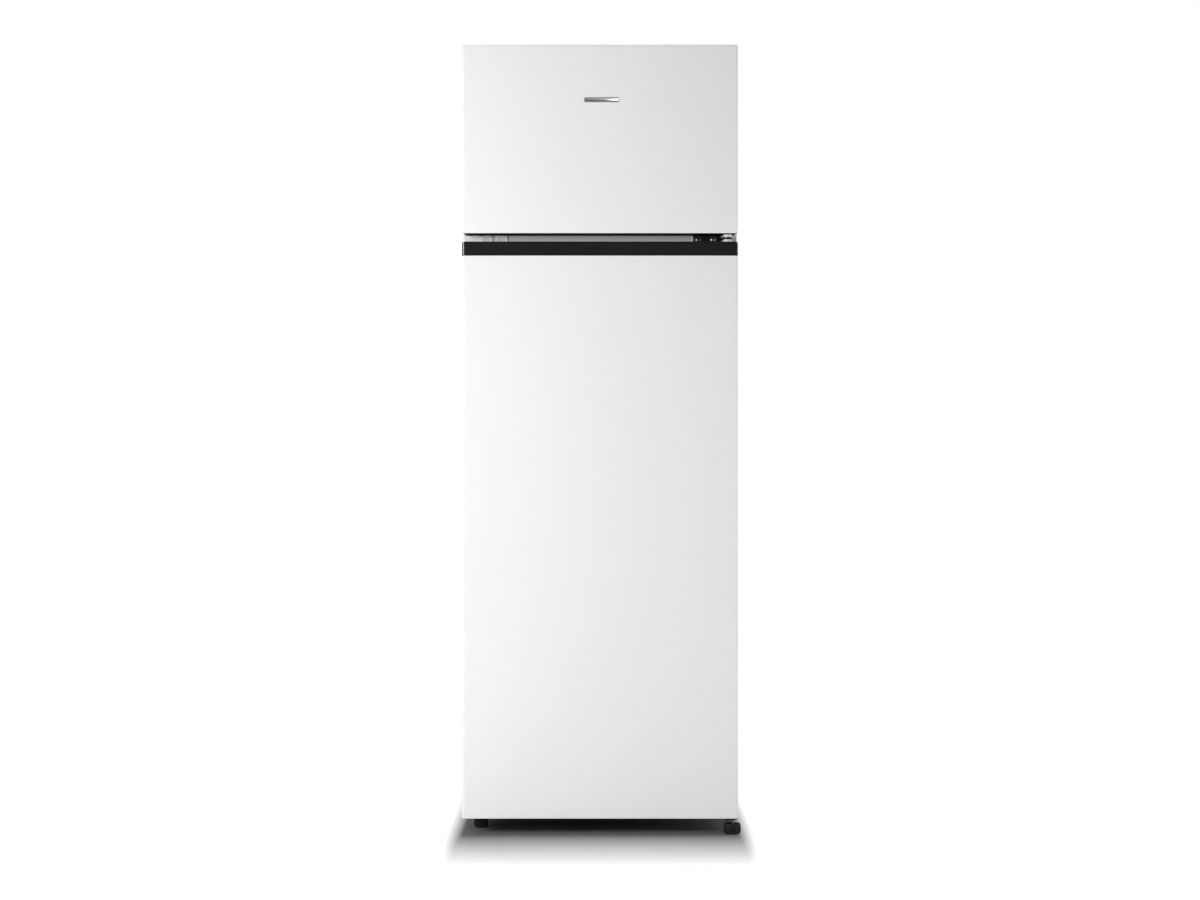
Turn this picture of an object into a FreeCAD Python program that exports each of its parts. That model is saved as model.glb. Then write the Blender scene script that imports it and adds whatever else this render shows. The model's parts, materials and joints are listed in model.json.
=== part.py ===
"""Top freezer refrigerator as separate sub-parts, in millimetres.

+Z is up, +Y points to the back and the doors face -Y.  The origin is on the
floor, under the centre of the refrigerator.  Driving dimensions are in the
spreadsheet "Sizes"; lengths that follow from them are in the variable set
"Places".  Every sub-part is one labelled object, written to parts/LABEL.step.
"""

import FreeCAD
import Part

import math
import os
import re

import Sketcher

Vector = FreeCAD.Vector
DOC = FreeCAD.newDocument("TopFreezerRefrigerator")

# ---------------------------------------------------------------- dimensions

SIZES = {
    # overall
    "cabinet_width": 550,
    "overall_depth": 545,
    "cabinet_bottom": 31.5,
    "cabinet_top": 1560,
    "rear_bead": 2.5,
    "sheet": 0.8,
    "corner_round": 6,
    "front_flange": 34,
    "rear_flange": 14,
    # insulated walls
    "fridge_side_wall": 38,
    "fridge_back_wall": 58,
    "freezer_side_wall": 52,
    "freezer_back_wall": 82,
    "freezer_top_wall": 48,
    "mullion_bottom": 1150,
    "mullion_height": 72,
    "fridge_floor": 75,
    "liner_wall": 2,
    "liner_lip": 8,
    "liner_round": 16,
    # compressor bay at the lower back
    "bay_depth": 162,
    "bay_height": 213.5,
    "bay_slope": 22,
    "bay_wall": 36,
    "base_sheet": 1.5,
    # doors
    "door_thickness": 50,
    "seal_gap": 12,
    "door_foot_gap": 1.5,
    "door_overlap": 32,
    "door_gap": 15.5,
    "door_rise": 15,
    "door_round": 5,
    "edge_round": 2,
    "cap_lip": 3,
    "cap_depth": 40,
    "handle_height": 27.5,
    "skirt": 12,
    "grip_lip": 6,
    "grip_width": 18,
    "grip_depth": 22,
    "grip_end": 35,
    "grip_hinge_end": 125,
    "seal_width": 18,
    "seal_inset": 18,
    "seal_free": 0.5,
    "dyke_width": 24,
    "dyke_depth": 40,
    "dyke_margin": 19,
    "dyke_end_margin": 16,
    # hinges and bushes
    "pin_inset": 20,
    "pin_setback": 22,
    "pin_diameter": 8,
    "pin_length": 16,
    "pin_clearance": 0.08,
    "bush_diameter": 14,
    "bush_flange": 18,
    "bush_depth": 18,
    "bush_clearance": 0.05,
    "hinge_plate": 3,
    "arm_plate": 4,
    "notch_depth": 19,
    "notch_length": 84,
    "notch_lip": 6,
    "washer_gap": 0.4,
    "screw_pitch": 30,
    "mid_plate_inset": 87,
    "mid_plate_width": 54,
    "mid_plate_height": 28,
    "hinge_cover_height": 13,
    # feet and rollers
    "foot_diameter": 35,
    "foot_height": 21.5,
    "foot_inset": 11,
    "foot_setback": 26.5,
    "left_foot_diameter": 29.5,
    "left_foot_inset": 33.5,
    "left_foot_setback": 118,
    "stud_diameter": 8,
    "stud_clearance": 0.1,
    "roller_diameter": 28,
    "roller_width": 14,
    "roller_inset": 46,
    "roller_back": 34,
    "axle_diameter": 5,
    # fridge interior
    "ledge_width": 9,
    "ledge_height": 7,
    "ledge_first": 470,
    "ledge_pitch": 95,
    "ledge_count": 6,
    "shelf_glass": 4,
    "shelf_side_gap": 1.5,
    "shelf_front_gap": 102,
    "shelf_trim": 11,
    "crisper_lid_height": 290,
    "crisper_gap": 0.6,
    "crisper_wall": 2.5,
    "crisper_slope": 20,
    # door racks
    "rack_wall": 2.2,
    "rack_depth": 92,
    "rack_height": 66,
    "rack_front_height": 54,
    "rack_side_gap": 1.5,
    "upper_rack_bottom": 872,
    "middle_rack_bottom": 560,
    "bottle_rack_bottom": 118,
    "bottle_rack_height": 104,
    "bottle_rack_depth": 84,
    "freezer_rack_depth": 74,
    "freezer_rack_height": 52,
    "freezer_rack_low": 1266,
    "freezer_rack_high": 1384,
    # control box in the fridge
    "control_left": 40,
    "control_width": 260,
    "control_height": 44,
    "control_front": 60,
    "control_depth": 104,
    "control_wall": 2,
    "control_chamfer": 18,
    "knob_diameter": 32,
    "knob_height": 12,
    "knob_shaft": 6,
    "knob_offset": 60,
    "switch_diameter": 8,
    "switch_offset": 128,
    "switch_clearance": 0.3,
    "lens_width": 96,
    "lens_length": 58,
    "lens_height": 7,
    # refrigeration set
    "compressor_length": 186,
    "compressor_width": 120,
    "compressor_height": 152,
    "compressor_x": 48,
    "grommet_height": 12,
    "grommet_diameter": 20,
    "tube_diameter": 6,
    "capillary_diameter": 5,
    "coil_pitch": 75,
    "coil_rows": 14,
    "drier_diameter": 17,
    "drier_length": 84,
    "drain_diameter": 14,
    "gland_x": -204,
    # small things
    "badge_width": 70,
    "badge_height": 10,
    "badge_x": 3,
    "badge_z": 1464,
    "badge_thickness": 1.2,
    "plug_diameter": 26,
    "plug_thickness": 2.4,
}

PLACES = {
    "half_width": "cabinet_width / 2",
    "inner_half": "half_width - sheet",
    "door_front": "-overall_depth / 2",
    "door_back": "door_front + door_thickness",
    "cabinet_front": "door_back + seal_gap",
    "cabinet_back": "overall_depth / 2 - rear_bead",
    "foam_back": "cabinet_back - 2 * sheet",
    "freezer_half": "half_width - freezer_side_wall",
    "freezer_floor": "mullion_bottom + mullion_height",
    "freezer_ceiling": "cabinet_top - freezer_top_wall",
    "freezer_rear": "cabinet_back - freezer_back_wall",
    "fridge_half": "half_width - fridge_side_wall",
    "fridge_rear": "cabinet_back - fridge_back_wall",
    "bay_roof": "cabinet_bottom + bay_height",
    "bay_front": "cabinet_back - bay_depth",
    "step_front": "bay_front - bay_wall",
    "step_rear": "bay_front + bay_slope - bay_wall",
    "step_top": "bay_roof + bay_wall",
    "flange_inner": "half_width - front_flange",
    "fridge_door_bottom": "cabinet_bottom + door_foot_gap",
    "fridge_door_top": "mullion_bottom + door_overlap",
    "freezer_door_bottom": "fridge_door_top + door_gap",
    "freezer_door_top": "cabinet_top + door_rise",
    "handle_bottom": "fridge_door_top - handle_height",
    "notch_floor": "freezer_door_top - notch_depth",
    "pin_x": "half_width - pin_inset",
    "pin_y": "door_front + pin_setback",
    "arm_middle": "fridge_door_top + door_gap / 2",
    "fridge_dyke": "fridge_half - liner_wall - dyke_margin",
    "freezer_dyke": "freezer_half - liner_wall - dyke_margin",
    "mid_plate_left": "half_width - mid_plate_inset",
    "foot_x": "half_width - foot_inset",
    "foot_y": "door_front + foot_setback",
    "left_foot_x": "half_width - left_foot_inset",
    "left_foot_y": "door_front + left_foot_setback",
    "roller_x": "half_width - roller_inset",
    "roller_y": "cabinet_back - roller_back",
    "shelf_half": "fridge_half - liner_wall - shelf_side_gap",
    "shelf_front": "cabinet_front + shelf_front_gap",
    "shelf_rear": "fridge_rear - liner_wall - 10",
    "freezer_shelf_half": "freezer_half - liner_wall - shelf_side_gap",
    "freezer_shelf_z": "(freezer_floor + freezer_ceiling) / 2",
    "control_y": "cabinet_front + control_front",
    "control_z": "mullion_bottom - liner_wall - control_height",
    "control_right": "control_width - control_left",
    "knob_x": "control_right - knob_offset",
    "knob_z": "control_z + control_height / 2",
    "switch_x": "control_right - switch_offset",
    "dyke_back": "door_back + dyke_depth",
    "compressor_y": "cabinet_back - compressor_width / 2 - 14",
    "compressor_z": "cabinet_bottom + base_sheet + grommet_height + 8",
}


def make_sheet():
    """The spreadsheet of driving dimensions, one aliased cell each."""
    sheet = DOC.addObject("Spreadsheet::Sheet", "Sizes")
    for row, (name, number) in enumerate(SIZES.items(), start=1):
        sheet.set(f"A{row}", name)
        sheet.set(f"B{row}", str(number))
        sheet.setAlias(f"B{row}", name)
    return sheet


def formula(text):
    """A formula in plain names, with each name's owner put before it."""

    def owned(match):
        word = match.group()
        owner = "Sizes." if word in SIZES else "Places." if word in PLACES else ""
        return owner + word

    return re.sub(r"[a-z][a-z_]*", owned, text)


def make_places():
    """The lengths that follow from the driving dimensions."""
    places = DOC.addObject("App::VarSet", "Places")
    for name in PLACES:
        places.addProperty("App::PropertyFloat", name, "Places")
    for name, text in PLACES.items():
        places.setExpression(name, formula(text))
    return places


SHEET = make_sheet()
DOC.recompute()
PLACE_SET = make_places()
DOC.recompute()


def val(name):
    """The present value of a size or place."""
    return float(SHEET.get(name) if name in SIZES else getattr(PLACE_SET, name))


# ------------------------------------------------------------------- helpers

PIECES = []
NORMAL_SIGN = {"XY": 1, "XZ": -1, "YZ": 1}


def rect(u_low, v_low, u_high, v_high):
    """A rectangle's corners, from formulas of its two opposite corners."""
    return [(u_low, v_low), (u_high, v_low), (u_high, v_high), (u_low, v_high)]


class Piece:
    """One sub-part as a PartDesign body, built of prisms between named places."""

    def __init__(self, label):
        self.label = label
        self.body = DOC.addObject("PartDesign::Body", label)
        self.body.Label = label
        self.body.AllowCompound = True
        self.steps = 0
        PIECES.append(self.body)

    def feature(self, kind, name):
        self.steps += 1
        return self.body.newObject(kind, f"{self.label}_{name}_{self.steps}")

    def sketch(self, plane, place, outlines):
        """A sketch on an origin plane of the body, moved along it to a place."""
        sketch = self.feature("Sketcher::SketchObject", "outline")
        origin = next(
            part for part in self.body.Origin.OriginFeatures if part.Role == f"{plane}_Plane"
        )
        sketch.AttachmentSupport = [(origin, "")]
        sketch.MapMode = "FlatFace"
        sign = "" if NORMAL_SIGN[plane] > 0 else "-"
        sketch.setExpression("AttachmentOffset.Base.z", f"{sign}({formula(place)})")
        for outline in outlines:
            if len(outline) == 3 and isinstance(outline[0], str):
                self.circle(sketch, *outline)
            else:
                self.polygon(sketch, outline)
        return sketch

    def polygon(self, sketch, corners):
        """A closed outline, each corner held at its own formulas."""
        count = len(corners)
        first = sketch.GeometryCount
        turn = 2 * math.pi / count
        start = [Vector(100 * math.cos(turn * k), 100 * math.sin(turn * k), 0) for k in range(count)]
        for k in range(count):
            sketch.addGeometry(Part.LineSegment(start[k], start[(k + 1) % count]), False)
        for k in range(count):
            following = first + (k + 1) % count
            sketch.addConstraint(Sketcher.Constraint("Coincident", first + k, 2, following, 1))
        for k, (u_text, v_text) in enumerate(corners):
            for kind, text, number in (
                ("DistanceX", u_text, start[k].x),
                ("DistanceY", v_text, start[k].y),
            ):
                held = Sketcher.Constraint(kind, -1, 1, first + k, 1, number)
                index = sketch.addConstraint(held)
                sketch.setExpression(f"Constraints[{index}]", formula(text))

    def circle(self, sketch, u_text, v_text, diameter):
        """A circle held by its centre and diameter."""
        k = sketch.addGeometry(Part.Circle(Vector(10, 10, 0), Vector(0, 0, 1), 5), False)
        for held, text in (
            (Sketcher.Constraint("DistanceX", -1, 1, k, 3, 10), u_text),
            (Sketcher.Constraint("DistanceY", -1, 1, k, 3, 10), v_text),
            (Sketcher.Constraint("Diameter", k, 10), diameter),
        ):
            index = sketch.addConstraint(held)
            sketch.setExpression(f"Constraints[{index}]", formula(text))

    def add(self, plane, low, high, *outlines):
        """Adds a prism from low to high along the plane's axis."""
        place = low if NORMAL_SIGN[plane] > 0 else high
        sketch = self.sketch(plane, place, outlines)
        pad = self.feature("PartDesign::Pad", "pad")
        pad.Profile = sketch
        pad.setExpression("Length", f"({formula(high)}) - ({formula(low)})")
        return pad

    def cut(self, plane, low, high, *outlines):
        """Cuts a prism from low to high, and makes sure that it removed something."""
        DOC.recompute()
        before = self.body.Shape.Volume
        place = high if NORMAL_SIGN[plane] > 0 else low
        sketch = self.sketch(plane, place, outlines)
        pocket = self.feature("PartDesign::Pocket", "pocket")
        pocket.Profile = sketch
        pocket.setExpression("Length", f"({formula(high)}) - ({formula(low)})")
        DOC.recompute()
        if self.body.Shape.Volume >= before - 1e-6:
            raise RuntimeError(f"{self.label}: a pocket at {place} cut nothing")
        return pocket

    def clip(self, side, half, level, way):
        """Cuts a corner round in the XZ plane: on side -1 or 1, with way 1 for a lower one."""
        DOC.recompute()
        before = self.body.Shape.Volume
        sketch = self.sketch("XZ", "door_front - 1", [])
        radius = "door_round"
        reach_u, reach_v = -side * val(radius), way * val(radius)
        tip = Vector(side * val(half), val(level), 0)
        on_u, on_v = tip + Vector(reach_u, 0, 0), tip + Vector(0, reach_v, 0)
        share = 1 - 0.5**0.5
        arc_middle = tip + Vector(reach_u * share, reach_v * share, 0)
        sketch.addGeometry(Part.LineSegment(tip, on_u), False)
        arc = Part.Arc(on_u, arc_middle, on_v)
        sketch.addGeometry(arc, False)
        sketch.addGeometry(Part.LineSegment(on_v, tip), False)
        start, end = (2, 1) if reach_u * reach_v > 0 else (1, 2)
        sketch.addConstraint(Sketcher.Constraint("Coincident", 2, 2, 0, 1))
        sketch.addConstraint(Sketcher.Constraint("Horizontal", 0))
        sketch.addConstraint(Sketcher.Constraint("Vertical", 2))
        sketch.addConstraint(Sketcher.Constraint("Tangent", 0, 2, 1, start))
        sketch.addConstraint(Sketcher.Constraint("Tangent", 1, end, 2, 1))
        for held, text in (
            (Sketcher.Constraint("Radius", 1, val(radius)), radius),
            (Sketcher.Constraint("DistanceX", -1, 1, 0, 1, tip.x), f"{side} * {half}"),
            (Sketcher.Constraint("DistanceY", -1, 1, 0, 1, tip.y), level),
        ):
            index = sketch.addConstraint(held)
            sketch.setExpression(f"Constraints[{index}]", formula(text))
        pocket = self.feature("PartDesign::Pocket", "clip")
        pocket.Profile = sketch
        pocket.setExpression("Length", formula("door_thickness + 2"))
        DOC.recompute()
        if self.body.Shape.Volume >= before - 1e-6:
            raise RuntimeError(f"{self.label}: a corner at {level} was not cut")

    def revolve(self, corners):
        """Turns an outline of radii and heights about the body's Z axis."""
        sketch = self.sketch("XZ", "0", [corners])
        turned = self.feature("PartDesign::Revolution", "turned")
        turned.Profile = sketch
        turned.ReferenceAxis = (sketch, ["V_Axis"])
        turned.Angle = 360
        return turned

    def round(self, radius, picked):
        """Rounds the edges for which picked is true."""
        DOC.recompute()
        base = self.body.Tip
        names = [f"Edge{k}" for k, edge in enumerate(base.Shape.Edges, 1) if picked(edge)]
        if not names:
            raise RuntimeError(f"{self.label}: found no edges to round")
        fillet = self.feature("PartDesign::Fillet", "round")
        fillet.Base = (base, names)
        fillet.setExpression("Radius", formula(radius))
        DOC.recompute()
        if "Invalid" in fillet.State or "Error" in fillet.State:
            raise RuntimeError(f"{self.label}: the rounding of {radius} failed")
        return fillet

    def repeat(self, originals, axis, spacing, count):
        """Repeats features in a row along an axis of the body."""
        row = self.feature("PartDesign::LinearPattern", "row")
        row.Originals = originals
        origin = next(
            part for part in self.body.Origin.OriginFeatures if part.Role == f"{axis}_Axis"
        )
        row.Direction = (origin, [""])
        row.setExpression("Length", f"({formula(spacing)}) * ({formula(count)} - 1)")
        row.setExpression("Occurrences", formula(count))
        self.body.Tip = row
        return row

    def ring(self, original, count):
        """Repeats a feature round the body's Z axis."""
        polar = self.feature("PartDesign::PolarPattern", "ring")
        polar.Originals = [original]
        origin = next(part for part in self.body.Origin.OriginFeatures if part.Role == "Z_Axis")
        polar.Axis = (origin, [""])
        polar.Angle = 360
        polar.Occurrences = count
        self.body.Tip = polar
        return polar

    def place(self, **formulas):
        """Binds the body's placement to formulas of x, y and z."""
        for axis, text in formulas.items():
            self.body.setExpression(f"Placement.Base.{axis}", formula(text))


def close(a, b, within=0.01):
    return abs(a - b) < within


def along(axis, **where):
    """Picks straight edges along an axis, at the given coordinates of their middle."""
    direction = {"x": Vector(1, 0, 0), "y": Vector(0, 1, 0), "z": Vector(0, 0, 1)}[axis]

    def picked(edge):
        if edge.Curve.TypeId != "Part::GeomLine":
            return False
        middle = edge.CenterOfMass
        if abs(edge.tangentAt(edge.FirstParameter).dot(direction)) < 0.999:
            return False
        return all(
            any(close(getattr(middle, key), number) for number in numbers)
            for key, numbers in where.items()
        )

    return picked


def coded(label, shape, **placement):
    """A sub-part whose shape is made by Part's own functions."""
    part = DOC.addObject("Part::Feature", label)
    part.Label = label
    part.Shape = shape
    part.Placement = FreeCAD.Placement(Vector(*placement.get("base", (0, 0, 0))), FreeCAD.Rotation())
    PIECES.append(part)
    return part


def both(number):
    """A place on either side of the middle."""
    return (-number, number)


def tube(points, radius, bend):
    """A round tube along straight runs joined by tangent arcs of one bend radius."""
    edges = []
    start = points[0]
    for k in range(1, len(points) - 1):
        corner = points[k]
        back = (points[k - 1] - corner).normalize()
        on = (points[k + 1] - corner).normalize()
        half_turn = (math.pi - back.getAngle(on)) / 2
        reach = bend * math.tan(half_turn)
        arc_start, arc_end = corner + back * reach, corner + on * reach
        centre_way = (back + on).normalize()
        middle = corner + centre_way * (bend / math.cos(half_turn) - bend)
        edges.append(Part.LineSegment(start, arc_start).toShape())
        edges.append(Part.Arc(arc_start, middle, arc_end).toShape())
        start = arc_end
    edges.append(Part.LineSegment(start, points[-1]).toShape())
    wire = Part.Wire(edges)
    first = (points[1] - points[0]).normalize()
    profile = Part.Wire([Part.Circle(points[0], first, radius).toShape()])
    return wire.makePipeShell([profile], True, False)


# ------------------------------------------------------------ cabinet pieces


def arch(half_outer, top_outer, half_inner, top_inner, bottom):
    """The outline of an upside-down U, open at the bottom."""
    return [
        (f"-({half_outer})", bottom),
        (f"-({half_outer})", top_outer),
        (half_outer, top_outer),
        (half_outer, bottom),
        (half_inner, bottom),
        (half_inner, top_inner),
        (f"-({half_inner})", top_inner),
        (f"-({half_inner})", bottom),
    ]


def make_outer_wrap():
    wrap = Piece("outer_wrap")
    skin = arch("half_width", "cabinet_top", "inner_half", "cabinet_top - sheet", "cabinet_bottom")
    wrap.add("XZ", "cabinet_front", "cabinet_back", skin)
    inner, top = val("inner_half"), val("cabinet_top") - val("sheet")
    wrap.round("corner_round - sheet", along("y", x=both(inner), z=(top,)))
    front = arch(
        "half_width", "cabinet_top", "flange_inner", "freezer_ceiling + liner_lip", "cabinet_bottom"
    )
    wrap.add("XZ", "cabinet_front", "cabinet_front + sheet", front)
    rear = arch(
        "half_width - sheet / 2",
        "cabinet_top - sheet / 2",
        "inner_half - rear_flange",
        "cabinet_top - sheet - rear_flange",
        "bay_roof + sheet",
    )
    wrap.add("XZ", "foam_back", "foam_back + sheet", rear)
    wrap.round("corner_round", along("y", x=both(val("half_width")), z=(val("cabinet_top"),)))


def make_back_panel():
    panel = Piece("back_panel")
    edge = "inner_half - 0.2"
    panel.add(
        "XZ",
        "cabinet_back - sheet",
        "cabinet_back",
        rect(f"-({edge})", "bay_roof + 2", edge, "cabinet_top - sheet - 4"),
    )
    bead = [
        ("-200", "bay_roof + 90"),
        ("200", "bay_roof + 90"),
        ("206", "bay_roof + 96"),
        ("200", "bay_roof + 102"),
        ("-200", "bay_roof + 102"),
        ("-206", "bay_roof + 96"),
    ]
    pad = panel.add("XZ", "cabinet_back", "cabinet_back + rear_bead", bead)
    panel.repeat([pad], "Z", "(cabinet_top - bay_roof - 180) / 8", "8 + 1")


def make_bottom_deck():
    """The steel deck under the insulation, stepped up over the compressor bay."""
    deck = Piece("bottom_deck")
    profile = [
        ("cabinet_front + sheet", "cabinet_bottom"),
        ("bay_front", "cabinet_bottom"),
        ("bay_front + bay_slope", "bay_roof"),
        ("foam_back + sheet", "bay_roof"),
        ("foam_back + sheet", "bay_roof + sheet"),
        ("bay_front + bay_slope - sheet", "bay_roof + sheet"),
        ("bay_front - sheet", "cabinet_bottom + sheet"),
        ("cabinet_front + sheet", "cabinet_bottom + sheet"),
    ]
    deck.add("YZ", "-inner_half", "inner_half", profile)
    deck.add(
        "XZ",
        "cabinet_front",
        "cabinet_front + sheet",
        rect("-flange_inner", "cabinet_bottom", "flange_inner", "fridge_floor - liner_lip"),
    )
    deck.cut(
        "XY",
        "cabinet_bottom",
        "cabinet_bottom + sheet",
        ("-left_foot_x", "left_foot_y", "stud_diameter + 2 * stud_clearance"),
    )
    deck.cut("XY", "bay_roof", "bay_roof + sheet", ("0", "fridge_rear - 16", "drain_diameter + 0.4"))


def make_compressor_base():
    """The rail across the bay that carries the compressor and the rear rollers."""
    base = Piece("compressor_base")
    front, rear = "bay_front + 6", "cabinet_back - 6"
    edge = "inner_half - 0.5"
    top = "cabinet_bottom + base_sheet"
    base.add("XY", "cabinet_bottom", top, rect(f"-({edge})", front, edge, rear))
    base.add("XY", top, f"{top} + 12", rect(f"-({edge})", f"{rear} - base_sheet", edge, rear))
    base.add("XY", top, f"{top} + 10", rect(f"-({edge})", front, edge, f"{front} + base_sheet"))
    for sign in ("-", ""):
        for side in ("-", ""):
            near = f"{sign}roller_x + {side}(roller_width / 2 + 1)"
            far = f"{sign}roller_x + {side}(roller_width / 2 + 1 + base_sheet)"
            low, high = (far, near) if side else (near, far)
            ear = [
                ("roller_y - 11", "cabinet_bottom"),
                ("roller_y - 8", "roller_diameter / 2 - 7"),
                ("roller_y + 8", "roller_diameter / 2 - 7"),
                ("roller_y + 11", "cabinet_bottom"),
            ]
            base.add("YZ", low, high, ear)
    base.cut(
        "YZ",
        "-half_width",
        "half_width",
        ("roller_y", "roller_diameter / 2", "axle_diameter + 0.2"),
    )
    holes = [
        (f"compressor_x + {u}", f"compressor_y + {v}", "6.4") for u, v in grommet_offsets()
    ]
    base.cut("XY", "cabinet_bottom", top, *holes)


def grommet_offsets():
    """Where the compressor's four mounts are, from its own centre."""
    reach_x, reach_y = "(compressor_length / 2 - 8)", "(compressor_width / 2 - 12)"
    return [
        (f"{a}{reach_x}", f"{b}{reach_y}") for a in ("-", "1 * ") for b in ("-", "1 * ")
    ]


def fridge_profile(wall):
    """The fridge compartment's side outline, made smaller by a wall."""
    return [
        ("cabinet_front - 1", f"fridge_floor + {wall}"),
        (f"step_front - {wall}", f"fridge_floor + {wall}"),
        (f"step_rear - {wall}", f"step_top + {wall}"),
        (f"fridge_rear - {wall}", f"step_top + {wall}"),
        (f"fridge_rear - {wall}", f"mullion_bottom - {wall}"),
        ("cabinet_front - 1", f"mullion_bottom - {wall}"),
    ]


def make_cabinet_foam():
    foam = Piece("cabinet_foam")
    outer = [
        ("cabinet_front + sheet", "cabinet_bottom + sheet"),
        ("bay_front - sheet", "cabinet_bottom + sheet"),
        ("bay_front + bay_slope - sheet", "bay_roof + sheet"),
        ("foam_back", "bay_roof + sheet"),
        ("foam_back", "cabinet_top - sheet"),
        ("cabinet_front + sheet", "cabinet_top - sheet"),
    ]
    foam.add("YZ", "-inner_half", "inner_half", outer)
    top = val("cabinet_top") - val("sheet")
    foam.round("corner_round - sheet", along("y", x=both(val("inner_half")), z=(top,)))
    foam.cut(
        "XZ",
        "cabinet_front",
        "freezer_rear",
        rect("-freezer_half", "freezer_floor", "freezer_half", "freezer_ceiling"),
    )
    foam.cut("YZ", "-fridge_half", "fridge_half", fridge_profile("0"))
    foam.cut(
        "XY",
        "cabinet_bottom",
        "cabinet_bottom + 22",
        ("-left_foot_x", "left_foot_y", "stud_diameter + 4"),
    )
    foam.cut("XY", "bay_roof", "step_top", ("0", "fridge_rear - 16", "drain_diameter + 0.4"))


def make_freezer_liner():
    liner = Piece("freezer_liner")
    outer = rect("-freezer_half", "freezer_floor", "freezer_half", "freezer_ceiling")
    inner = rect(
        "-(freezer_half - liner_wall)",
        "freezer_floor + liner_wall",
        "freezer_half - liner_wall",
        "freezer_ceiling - liner_wall",
    )
    liner.add("XZ", "cabinet_front", "freezer_rear", outer)
    half, rear, wall = val("freezer_half"), val("freezer_rear"), val("liner_wall")
    liner.cut("XZ", "cabinet_front - 1", "freezer_rear - liner_wall", inner)
    liner.round("liner_round - liner_wall", along("z", x=both(half - wall), y=(rear - wall,)))
    liner.round("liner_round", along("z", x=both(half), y=(rear,)))
    lip = rect(
        "-flange_inner",
        "freezer_floor - liner_lip",
        "flange_inner",
        "freezer_ceiling + liner_lip",
    )
    liner.add("XZ", "cabinet_front", "cabinet_front + sheet", lip, inner)
    for sign in ("-", ""):
        ends = [f"{sign}(freezer_half - liner_wall / 2)", f"{sign}(freezer_half - liner_wall - ledge_width)"]
        low, high = ends if sign else ends[::-1]
        liner.add(
            "YZ",
            low,
            high,
            rect(
                "cabinet_front + 70",
                "freezer_shelf_z - ledge_height",
                "freezer_rear - liner_round - 6",
                "freezer_shelf_z",
            ),
        )


def make_fridge_liner():
    liner = Piece("fridge_liner")
    outer = fridge_profile("0")
    outer[0] = ("cabinet_front", outer[0][1])
    outer[-1] = ("cabinet_front", outer[-1][1])
    liner.add("YZ", "-fridge_half", "fridge_half", outer)
    half, rear, wall = val("fridge_half"), val("fridge_rear"), val("liner_wall")
    liner.cut(
        "YZ", "-(fridge_half - liner_wall)", "fridge_half - liner_wall", fridge_profile("liner_wall")
    )
    liner.round("liner_round - liner_wall", along("z", x=both(half - wall), y=(rear - wall,)))
    liner.round("liner_round", along("z", x=both(half), y=(rear,)))
    lip = rect("-flange_inner", "fridge_floor - liner_lip", "flange_inner", "mullion_bottom + liner_lip")
    mouth = rect(
        "-(fridge_half - liner_wall)",
        "fridge_floor + liner_wall",
        "fridge_half - liner_wall",
        "mullion_bottom - liner_wall",
    )
    liner.add("XZ", "cabinet_front", "cabinet_front + sheet", lip, mouth)
    ledges = []
    for sign in ("-", ""):
        ends = [f"{sign}(fridge_half - liner_wall / 2)", f"{sign}(fridge_half - liner_wall - ledge_width)"]
        low, high = ends if sign else ends[::-1]
        ledges.append(
            liner.add(
                "YZ",
                low,
                high,
                rect(
                    "cabinet_front + 96",
                    "ledge_first - ledge_height",
                    "fridge_rear - liner_round - 4",
                    "ledge_first",
                ),
            )
        )
    liner.repeat(ledges, "Z", "ledge_pitch", "ledge_count")
    lid_ledge = rect(
        "cabinet_front + 96",
        "crisper_lid_height - ledge_height",
        "fridge_rear - liner_round - 4",
        "crisper_lid_height",
    )
    for sign in ("-", ""):
        ends = [f"{sign}(fridge_half - liner_wall / 2)", f"{sign}(fridge_half - liner_wall - ledge_width)"]
        low, high = ends if sign else ends[::-1]
        liner.add("YZ", low, high, lid_ledge)
    liner.cut(
        "XY", "step_top - 1", "step_top + liner_wall + 1", ("0", "fridge_rear - 16", "drain_diameter + 0.4")
    )


def make_mullion_strip():
    strip = Piece("mullion_strip")
    strip.add(
        "XZ",
        "cabinet_front",
        "cabinet_front + sheet",
        rect(
            "-flange_inner",
            "mullion_bottom + liner_lip",
            "flange_inner",
            "freezer_floor - liner_lip",
        ),
    )


# -------------------------------------------------------------------- hinges


def make_upper_hinge():
    hinge = Piece("upper_hinge")
    top = "cabinet_top + hinge_plate"
    foot = rect("pin_x - 50", "cabinet_front + 8", "pin_x + 13", "cabinet_front + 62")
    hinge.add("XY", "cabinet_top", top, foot)
    arm = [
        ("pin_x - 7", "pin_y - 4"),
        ("pin_x + 7", "pin_y + 4"),
        ("pin_x - 18", "cabinet_front + 10"),
        ("pin_x - 38", "cabinet_front + 10"),
    ]
    hinge.add("XY", "cabinet_top", top, arm)
    hinge.add("XY", "cabinet_top", top, ("pin_x", "pin_y", "16"))
    hinge.add(
        "XY", "cabinet_top - pin_length", "cabinet_top + 0.5", ("pin_x", "pin_y", "pin_diameter")
    )
    holes = [(f"pin_x + {u}", f"cabinet_front + {v}", "5") for u, v in UPPER_SCREWS]
    hinge.cut("XY", "cabinet_top", top, *holes)


UPPER_SCREWS = ((-40, 22), (-40, 50), (3, 22), (3, 50))
LOWER_SCREWS = ((-58, 24), (-58, 56), (-10, 56))


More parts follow.
